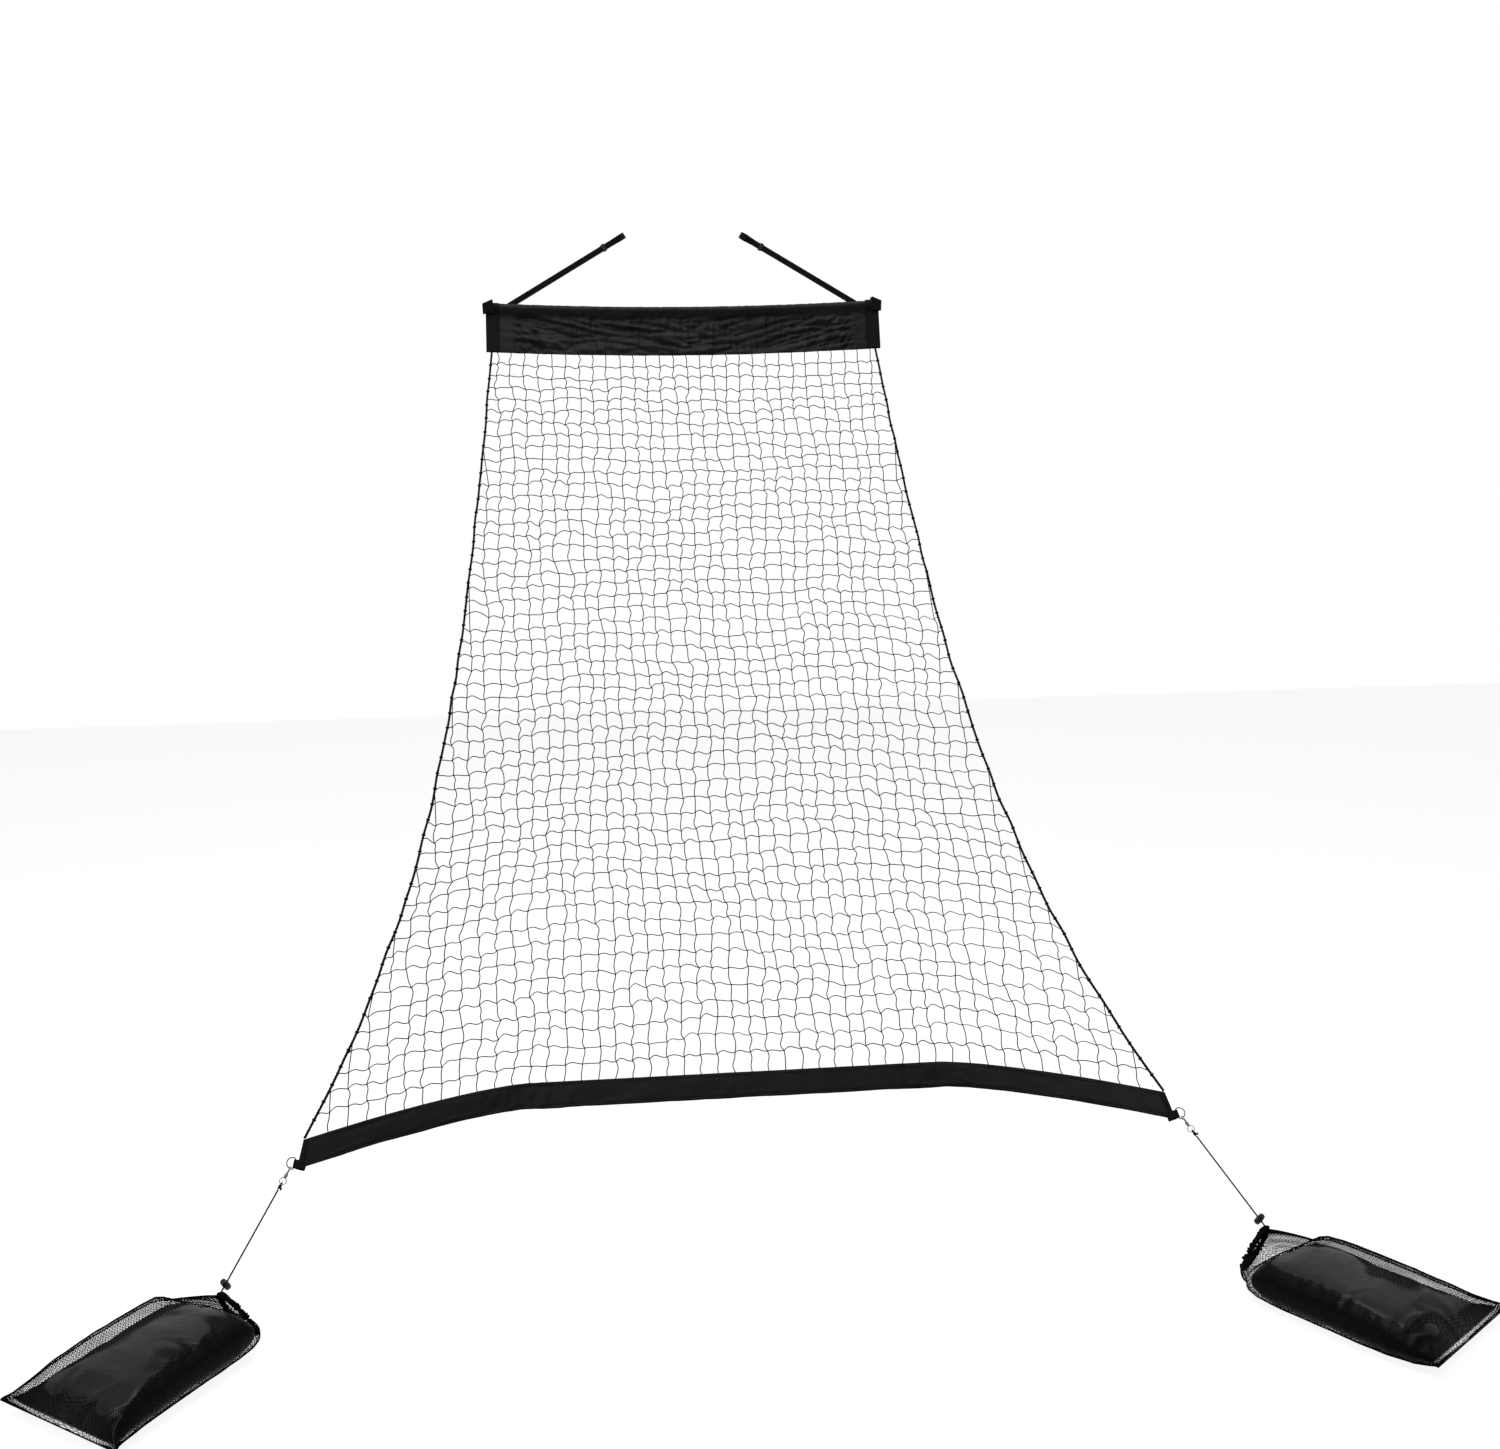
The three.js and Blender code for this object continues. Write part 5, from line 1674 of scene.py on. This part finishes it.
class RETURNNET_OT_fittings(PieceOperator):
    """Make the webbing tabs, D rings, snap hooks, gates and swivels at the corners"""

    bl_idname = "return_net.fittings"
    bl_label = "Corner fittings"

    def make(self):
        nickel = finish_of("nickel")
        for name, side in SIDES.items():
            self.make_tab(name, side)
            self.make_ring(name, side)
            self.make_swivel(name, side)
            for node, piece, edge, body in REFINED_FITTINGS:
                refined(f"{node}_{name}", f"{piece}_{name}", edge, nickel, f"{body}_{name}", "plated_metal")

    def make_tab(self, name, side):
        """Webbing round the ring's bar, with its two legs sewn to the faces of the hem."""
        fittings, hem = sizes("fittings"), sizes("hem")
        turn = ring_frame(side)
        wrap = arc((0, 0), fittings.ring_wire / 2 + fittings.tab / 2, -TAB_WRAP, TAB_WRAP, 16)
        leg = hem.half_thickness + fittings.tab
        end, edge = fittings.tab_reach + fittings.tab_leg, fittings.tab_reach / 2
        flat = [(-end, -leg), (-fittings.tab_reach, -leg), (-edge, -leg / 2), *wrap]
        flat += [(-edge, leg / 2), (-fittings.tab_reach, leg), (-end, leg)]
        points = spaced([turn @ Vector((x, 0, z)) for x, z in flat], fittings.tab)
        width = turn.col[1].to_3d() * fittings.tab_width
        ribbon(
            f"tab_{name}", points, width, fittings.tab, finish_of("webbing"), "root", "webbing",
            f"hem_tab_{name}", across=8,
        )

    def make_ring(self, name, side):
        fittings = sizes("fittings")
        radius, leg = fittings.ring_radius, fittings.ring_leg
        corner = 0.0018
        bow = arc((leg, 0), radius, -math.pi / 2, math.pi / 2, 40)
        high = arc((corner, radius - corner), corner, math.pi / 2, math.pi, 6)
        low = arc((corner, corner - radius), corner, math.pi, 3 * math.pi / 2, 6)
        turn = ring_frame(side)
        path = [turn @ Vector((x, y, 0)) for x, y in bow + high + low]
        curve_piece(
            f"ring_{name}", [path], fittings.ring_wire, 14, finish_of("dark_nickel"), f"d_ring_{name}",
            "plated_metal", f"d_ring_{name}", cyclic=True,
        )

    def make_swivel(self, name, side):
        fittings = sizes("fittings")
        turn = hook_frame(side)
        ring = arc((fittings.swivel_centre, 0), fittings.swivel_radius, 0, FULL_TURN, 48)[:-1]
        path = [turn @ Vector((x, 0, z)) for x, z in ring]
        curve_piece(
            f"swivel_loop_{name}", [path], fittings.swivel_wire, 12, finish_of("nickel"), f"swivel_{name}",
            "plated_metal", f"swivel_ring_{name}", cyclic=True,
        )
        head_end = fittings.head_place + fittings.head_length
        stem_end = fittings.swivel_centre - fittings.swivel_radius + fittings.swivel_wire / 3
        profile = [
            (fittings.head_place, 0), (fittings.head_place, fittings.head_radius * 0.85),
            (fittings.head_place + 0.0003, fittings.head_radius), (head_end, fittings.head_radius),
            (head_end, fittings.stem_radius), (stem_end - 0.0004, fittings.stem_radius),
            (stem_end, fittings.stem_radius * 0.8), (stem_end, 0),
        ]
        obj = turned(f"swivel_stem_{name}", profile, turn, 20)
        finish_piece(obj, finish_of("nickel"), f"swivel_{name}", "plated_metal")
        obj.data.set_sharp_from_angle(angle=STEM_SHARP_EDGE)


class RETURNNET_OT_locks(PieceOperator):
    """Make the cord locks with their buttons and springs"""

    bl_idname = "return_net.locks"
    bl_label = "Cord locks"

    def make(self):
        leads = sizes("leads")
        # The lock's own Z is the axis of its barrel
        upright = Matrix.Rotation(-math.pi / 2, 4, "Y")
        bore = leads.lock_radius - leads.lock_wall
        edge = 0.0007
        for name, side in SIDES.items():
            place = lock_frame(side) @ upright
            outer = [
                (-leads.lock_floor, 0), (-leads.lock_floor, leads.lock_radius - edge),
                (-leads.lock_floor + edge, leads.lock_radius), (leads.lock_top - edge, leads.lock_radius),
                (leads.lock_top, leads.lock_radius - edge), (leads.lock_top, bore),
                (leads.lock_wall - leads.lock_floor, bore), (leads.lock_wall - leads.lock_floor, 0),
            ]
            self.turned_part(f"lock_{name}", outer, place, f"cord_lock_{name}")
            under = leads.lock_top + leads.button_lift
            top = under + leads.button_head
            foot = -0.004
            post = bore - 0.0003
            knob = [
                (foot, 0), (foot, post), (under, post), (under, leads.button_radius - edge),
                (under + edge, leads.button_radius), (top - edge, leads.button_radius),
                (top, leads.button_radius - 2 * edge), (top - edge / 2, leads.button_radius / 2),
                (top - edge / 2, 0),
            ]
            self.turned_part(f"button_{name}", knob, place, f"lock_button_{name}")
            self.make_spring(name, place, post)
            self.make_grommets(name, side)

    def turned_part(self, name, profile, place, node):
        """A turned part of the lock, which stands for the node that moves it."""
        part = turned(name, profile, place)
        finish_piece(part, finish_of("moulded"), node, "moulded_nylon", node)
        part.data.set_sharp_from_angle(angle=SHARP_EDGE)

    def make_spring(self, name, place, post):
        leads = sizes("leads")
        low = leads.lock_wall - leads.lock_floor + 0.0008
        turns, height, wire = 3, 0.0026, 0.0008
        coil = post - wire
        points = []
        for i in range(turns * 20 + 1):
            turn = FULL_TURN * i / 20
            lift = low + height * i / (turns * 20)
            points.append(place @ Vector((lift, coil * math.cos(turn), coil * math.sin(turn))))
        curve_piece(f"lock_coil_{name}", [points], wire, 8, finish_of("nickel"), f"cord_lock_{name}",
                    "plated_metal", f"lock_spring_{name}")

    def make_grommets(self, name, side):
        """Raised rims where the cord goes in and out."""
        leads = sizes("leads")
        rims = []
        for way in (-1, 1):
            rim = arc((0, 0), leads.cord / 2 + 0.0006, 0, FULL_TURN, 24)[:-1]
            reach = way * (leads.lock_radius - 0.0002)
            rims.append([lock_frame(side) @ Vector((reach, y, z)) for y, z in rim])
        curve_piece(f"lock_rims_{name}", rims, 0.0011, 8, finish_of("moulded"), f"cord_lock_{name}",
                    "moulded_nylon", cyclic=True)


Dent = namedtuple("Dent", "along across half_length half_width turn depth")

# Dents in the film of each bag, placed from its near end and outwards
DENTS = {
    -1: (
        Dent(0.452, -0.064, 0.05, 0.010, math.radians(20), 0.0035),
        Dent(0.446, -0.139, 0.045, 0.009, math.radians(35), 0.0035),
        Dent(0.464, -0.113, 0.04, 0.009, math.radians(28), 0.003),
        Dent(0.42, 0.03, 0.05, 0.012, math.radians(-15), 0.0025),
        Dent(0.20, -0.13, 0.05, 0.010, math.radians(85), 0.003),
    ),
    1: (
        Dent(0.417, -0.134, 0.045, 0.008, math.radians(95), 0.008),
        Dent(0.455, -0.165, 0.03, 0.007, math.radians(88), 0.005),
        Dent(0.452, -0.06, 0.04, 0.010, math.radians(15), 0.003),
        Dent(0.27, -0.20, 0.05, 0.008, math.radians(85), 0.003),
    ),
}
DENT_BEND = 2.2
LIP_SHARE = 0.6
LIP_PLACE = 1.6
SAND_AROUND = 56
SAND_ALONG = 60
FILM_INSET = 0.0015
SWELL_FRAMES = 20
SWELL_CAP = 0.007
SMALLEST_MOVE = 1e-9
GROUND_GAP = 0.0006


class RETURNNET_OT_sand_bags(PieceOperator):
    """Make the vinyl bags, swollen by their sand, with a welded seam at the far end"""

    bl_idname = "return_net.sand_bags"
    bl_label = "Sand bags"

    def make(self):
        for name, side in SIDES.items():
            obj = self.filled_bag(name, side)
            finish_piece(obj, finish_of("vinyl"), "root", "bag_vinyl", f"sand_bag_{name}")

    def filled_bag(self, name, side):
        bm = bmesh.new()
        rings = []
        for i in range(SAND_ALONG + 1):
            turns = [FULL_TURN * k / SAND_AROUND for k in range(SAND_AROUND)]
            ring = [bm.verts.new(bag_skin(side, i / SAND_ALONG, turn, -FILM_INSET, 0)) for turn in turns]
            rings.append([bm.edges.new(pair) for pair in zip(ring, ring[1:] + ring[:1])])
        for first, second in zip(rings, rings[1:]):
            bmesh.ops.bridge_loops(bm, edges=first + second)
        bmesh.ops.holes_fill(bm, edges=rings[0] + rings[-1], sides=0)
        obj = from_bmesh(f"sand_{name}", bm, recalculate=True)
        remesh = obj.modifiers.new("Even mesh", "REMESH")
        remesh.mode = "VOXEL"
        remesh.voxel_size = sizes("bags").voxel
        bake_modifiers(obj)
        self.swell(obj)
        self.shape(obj, side)
        smooth = obj.modifiers.new("Fine", "SUBSURF")
        smooth.levels = 1
        smooth.render_levels = 1
        return obj

    def swell(self, obj):
        """Lets the filling push the film out, and keeps each point near where it was."""
        scene = bpy.context.scene
        before = np.array([v.co for v in obj.data.vertices], float)
        cloth = obj.modifiers.new("Film", "CLOTH")
        cloth.settings.use_pressure = True
        cloth.settings.uniform_pressure_force = 4
        cloth.settings.effector_weights.gravity = 0
        cloth.settings.tension_stiffness = 12
        cloth.settings.bending_stiffness = 0.6
        for number in range(1, SWELL_FRAMES + 1):
            scene.frame_set(number)
        graph = bpy.context.evaluated_depsgraph_get()
        after = np.array([v.co for v in obj.evaluated_get(graph).data.vertices], float)
        obj.modifiers.clear()
        scene.frame_set(1)
        moved = after - before
        far = np.linalg.norm(moved, axis=1, keepdims=True)
        moved *= np.minimum(1, SWELL_CAP / np.maximum(far, SMALLEST_MOVE))
        obj.data.vertices.foreach_set("co", (before + moved).ravel())
        obj.data.update()

    def shape(self, obj, side):
        """Presses the bag onto the ground, and adds its dents and the wrinkles at its ends."""
        bags = sizes("bags")
        floor = bags.lift - bags.ground
        for vert in obj.data.vertices:
            along, outward, height = self.in_bag(side, vert.co)
            along -= sand_start(side)
            share_along = along / bags.sand_length
            near_top = min(1, max(0, (height - 0.03) / 0.04))
            far_end = min(1, max(0, (share_along - 0.72) / 0.2))
            sink = 0
            for dent in DENTS[side]:
                sink += self.dent_depth(dent, along, outward)
            rumple = noise.noise(Vector((along * 16, outward * 30, 3 + side))) * 0.0035 * far_end
            broad = noise.noise(Vector((along * 6, outward * 8, 9 + side))) * 0.004
            vert.co.z += (-sink + rumple + broad) * near_top
            vert.co.z = max(floor + GROUND_GAP, vert.co.z)
        obj.data.update()

    def dent_depth(self, dent, along, outward):
        """How deep a bent dent is at a place, less the lip beside it."""
        du, dv = along - dent.along, outward - dent.across
        cos, sin = math.cos(dent.turn), math.sin(dent.turn)
        long = du * cos + dv * sin
        short = dv * cos - du * sin + DENT_BEND * long * long
        wide = dent.half_width
        reach = math.exp(-((long / dent.half_length) ** 2) - (short / wide) ** 2)
        lip = math.exp(-((long / dent.half_length) ** 2) - ((short - LIP_PLACE * wide) / wide) ** 2)
        return dent.depth * (reach - LIP_SHARE * lip)

    def in_bag(self, side, point):
        """A point's place along, across and above a bag."""
        bags = sizes("bags")
        sin, cos = math.sin(bags.turn), math.cos(bags.turn)
        x, y = side * point.x - bags.mouth_x, -point.y - bags.mouth_forward
        return x * sin + y * cos, x * cos - y * sin, point.z + bags.ground


# Shares of a mesh bag's length where its neck ends, its pleats end and its far seam starts
NECK_SHARE = 0.15
PLEATED_SHARE = 0.12
SEAM_SHARE = 0.985
MESH_STEPS = 92
CASING_GAP = math.radians(16)
CASING_STEPS = (420, 14)
CASING_CUT = (0.3, 0.03)
PLEAT_BULGE = 0.45
RUMPLE_BULGE = 0.2
FRILL_SHARE = 0.5
FRILL_SHIFT = 0.5
SIDE_SEAM_TURNS = (0.42, 0.06)


class RETURNNET_OT_mesh_bags(PieceOperator):
    """Knit the see-through bags round the sand bags, with their gathered mouths and bound seams"""

    bl_idname = "return_net.mesh_bags"
    bl_label = "Mesh bags"

    def make(self):
        for name, side in SIDES.items():
            self.make_mesh(name, side)
            self.make_casing(name, side)
            self.make_seams(name, side)

    def bag_surface(self, side, v, turn, offset=0.0):
        """A point of the mesh bag: v from 0 at the mouth to 1 at the far seam."""
        bags = sizes("bags")
        if v < NECK_SHARE:
            return self.neck_surface(side, v / NECK_SHARE, turn, offset)
        place = min(1, (v - NECK_SHARE) / (SEAM_SHARE - NECK_SHARE))
        loose = max(0, noise.noise(Vector((2 * math.cos(turn), place * 7, 3 + side)))) * bags.looseness
        pleat = self.pleat(side, turn) * (1 - fade(place, 0, PLEATED_SHARE)) * bags.pleat_depth / 2
        point = bag_skin(side, place, turn, bags.skin + offset + loose + abs(pleat), bags.slack)
        if v > SEAM_SHARE:
            part = (v - SEAM_SHARE) / (1 - SEAM_SHARE)
            middle = (TOP_SHARES[-1] + BOTTOM_SHARES[-1]) / 2
            flat = bags.lift + bags.height * middle - bags.ground
            point += bag_axis(side) * bags.seam * part
            point.z = mix(point.z, flat, math.sqrt(part))
        return point

    def pleat(self, side, turn):
        """Height of the pleats round the mouth, uneven as a drawn cord leaves them."""
        bags = sizes("bags")
        inward = bags.slit_half * (1 - math.cos(turn)) + bags.slit_width * math.sin(turn)
        return noise.noise(Vector((2 * inward / bags.pleat, 3 * side, 7))) * 2

    def neck_surface(self, side, part, turn, offset):
        """Between the mouth and the sand bag the mesh first spreads and then runs on."""
        bags = sizes("bags")
        near = slit_point(side, turn, bags.thread / 2 + offset, bags.neck * part)
        way = bag_skin(side, 0, turn, bags.skin + offset, bags.slack) - near
        axis = bag_axis(side)
        ahead = axis * way.dot(axis)
        spread = 1 - (1 - part) ** 1.5
        point = near + ahead * part ** 1.25 + (way - ahead) * spread
        outward = (way - ahead).normalized()
        return point + outward * self.pleat(side, turn) * bags.pleat_depth * (1 - 0.6 * part)

    def make_mesh(self, name, side):
        bags = sizes("bags")
        around = 4 * bags.half_width + 2 * bags.height
        # Both bags are knitted alike, to the left one's length
        long = bags.start_left + bags.sand_length + bags.seam
        count = int(around / (bags.pitch * math.sqrt(2)))
        over = FULL_TURN * (long / around)
        lines = []
        for way in (-1, 1):
            for i in range(count):
                start = FULL_TURN * i / count
                lines.append([
                    self.bag_surface(side, k / MESH_STEPS, start + way * over * k / MESH_STEPS)
                    for k in range(MESH_STEPS + 1)
                ])
        curve_piece(
            f"mesh_{name}", lines, bags.thread, 4, finish_of("mesh"), "root", "bag_mesh", f"mesh_bag_{name}"
        )

    def make_casing(self, name, side):
        """The gathered tunnel that the draw cord runs in, with the ragged frill in front of it."""
        bags = sizes("bags")
        centre = draw_offset()
        axis = bag_axis(side)

        def place(u, v):
            turn = mix(CASING_GAP, FULL_TURN - CASING_GAP, u)
            middle = slit_point(side, turn, centre, bags.neck / 2)
            outward = (slit_point(side, turn, centre + bags.casing, bags.neck / 2) - middle).normalized()
            rumple = noise.noise(Vector((60 * u, 3 * v, 5 + side)))
            bulge = 1 + PLEAT_BULGE * self.pleat(side, turn) + RUMPLE_BULGE * rumple
            cos, sin = math.cos(FULL_TURN * v), math.sin(FULL_TURN * v)
            frill = 1 + FRILL_SHARE * max(0, -cos) * (1 + self.pleat(side, turn + FRILL_SHIFT))
            reach = bags.casing * bulge
            return middle + outward * sin * reach + axis * cos * reach * frill

        obj = surface(f"casing_{name}", place, *CASING_STEPS, CASING_CUT, closed=True)
        finish_piece(obj, finish_of("mesh_cloth"), "root", "bag_mesh")

    def make_seams(self, name, side):
        """The bound seam across the far end, and the two along the slack side."""
        bags = sizes("bags")
        end = [self.bag_surface(side, 1, turn) for turn in np.linspace(math.pi, 0, 60)]
        along = [
            [self.bag_surface(side, v, turn, bags.thread / 2) for v in np.linspace(0.03, 0.995, 120)]
            for turn in SIDE_SEAM_TURNS
        ]
        curve_piece(
            f"bag_seams_{name}", [end, *along], bags.binding, 8, finish_of("mesh_cloth"), "root", "bag_mesh"
        )


# Square lamps: place, width and watts
LAMPS = {
    "key": ((-2.6, -4.0, 3.9), 1.8, 340),
    "fill": ((0.6, -5.4, 2.9), 1.6, 60),
    "overhead": ((0.3, -0.9, 3.9), 3.2, 300),
}
LAMP_TARGET = Vector((0, -1.1, -1.5))
FLOOR_CENTRE_Y = -1


class RETURNNET_OT_stage(PieceOperator):
    """Set up the floor, the lamps and the light from all round"""

    bl_idname = "return_net.stage"
    bl_label = "Stage"

    def make(self):
        self.make_floor()
        self.make_world()
        for name, (place, size, watts) in LAMPS.items():
            self.make_lamp(name, place, size, watts)
        bpy.context.scene.view_settings.view_transform = "Standard"

    def seen_rays(self, tree):
        """1 where the camera, or a mirror or glass, looks at the background."""
        rays = add(tree, "ShaderNodeLightPath").outputs
        first = joined(tree, "MAXIMUM", rays["Is Camera Ray"], rays["Is Glossy Ray"])
        return joined(tree, "MAXIMUM", first, rays["Is Transmission Ray"])

    def make_floor(self):
        stage, bags = sizes("stage"), sizes("bags")
        bm = bmesh.new()
        bmesh.ops.create_grid(bm, x_segments=1, y_segments=1, size=stage.floor_half)
        bmesh.ops.translate(bm, verts=bm.verts, vec=(0, FLOOR_CENTRE_Y, -bags.ground))
        floor = from_bmesh("floor", bm)
        material = bpy.data.materials.new("pale_floor")
        material.use_nodes = True
        tree = material.node_tree
        tree.nodes.clear()
        grey = [stage.floor_grey] * 3 + [1]
        matt = add(tree, "ShaderNodeBsdfDiffuse", inputs={"Color": grey})
        strength = joined(tree, "MULTIPLY", self.seen_rays(tree), stage.floor_glow)
        glow = add(tree, "ShaderNodeEmission", inputs={"Strength": strength})
        both = add(tree, "ShaderNodeAddShader", inputs={0: matt.outputs[0], 1: glow.outputs[0]})
        add(tree, "ShaderNodeOutputMaterial", inputs={"Surface": both.outputs[0]})
        floor.data.materials.append(material)

    def make_world(self):
        world = bpy.data.worlds.new("soft_white")
        world.use_nodes = True
        tree = world.node_tree
        tree.nodes.clear()
        strength = mapped(tree, self.seen_rays(tree), {"To Min": sizes("stage").sky, "To Max": 1.0})
        light = add(tree, "ShaderNodeBackground", inputs={"Strength": strength})
        light.inputs["Color"].default_value = (1, 1, 1, 1)
        add(tree, "ShaderNodeOutputWorld", inputs={"Surface": light.outputs[0]})
        bpy.context.scene.world = world

    def make_lamp(self, name, place, size, watts):
        data = bpy.data.lights.new(name, "AREA")
        data.shape = "SQUARE"
        data.size = size
        data.energy = watts
        lamp = new_object(name, data)
        aim = (LAMP_TARGET - Vector(place)).to_track_quat("-Z", "Y")
        lamp.matrix_world = Matrix.Translation(place) @ aim.to_matrix().to_4x4()


OPERATORS = (
    RETURNNET_OT_camera,
    RETURNNET_OT_leads,
    RETURNNET_OT_knots,
    RETURNNET_OT_sleeve,
    RETURNNET_OT_bar,
    RETURNNET_OT_straps,
    RETURNNET_OT_net,
    RETURNNET_OT_ropes,
    RETURNNET_OT_hem,
    RETURNNET_OT_fittings,
    RETURNNET_OT_locks,
    RETURNNET_OT_sand_bags,
    RETURNNET_OT_mesh_bags,
    RETURNNET_OT_stage,
)


class RETURNNET_PT_panel(bpy.types.Panel):
    """Lists the sizes, the finishes and the operators of the return net"""

    bl_idname = "RETURNNET_PT_panel"
    bl_label = "Ball Return Net"
    bl_space_type = "VIEW_3D"
    bl_region_type = "UI"
    bl_category = "Return Net"

    def draw(self, context):
        for name, group in GROUPS.items():
            box = self.layout.box()
            box.label(text=name.capitalize())
            values = getattr(context.scene, PREFIX + name)
            for value in group.__annotations__:
                box.prop(values, value)
        for operator in OPERATORS:
            self.layout.operator(operator.bl_idname)


def register():
    for group in GROUPS.values():
        bpy.utils.register_class(group)
    for name, group in GROUPS.items():
        setattr(bpy.types.Scene, PREFIX + name, PointerProperty(type=group))
    for made in (*OPERATORS, RETURNNET_PT_panel):
        bpy.utils.register_class(made)


def unregister():
    for made in (RETURNNET_PT_panel, *reversed(OPERATORS)):
        bpy.utils.unregister_class(made)
    for name, group in GROUPS.items():
        delattr(bpy.types.Scene, PREFIX + name)
        bpy.utils.unregister_class(group)


def main():
    register()
    for operator in OPERATORS:
        group, name = operator.bl_idname.split(".")
        getattr(getattr(bpy.ops, group), name)()


if __name__ == "__main__":
    main()
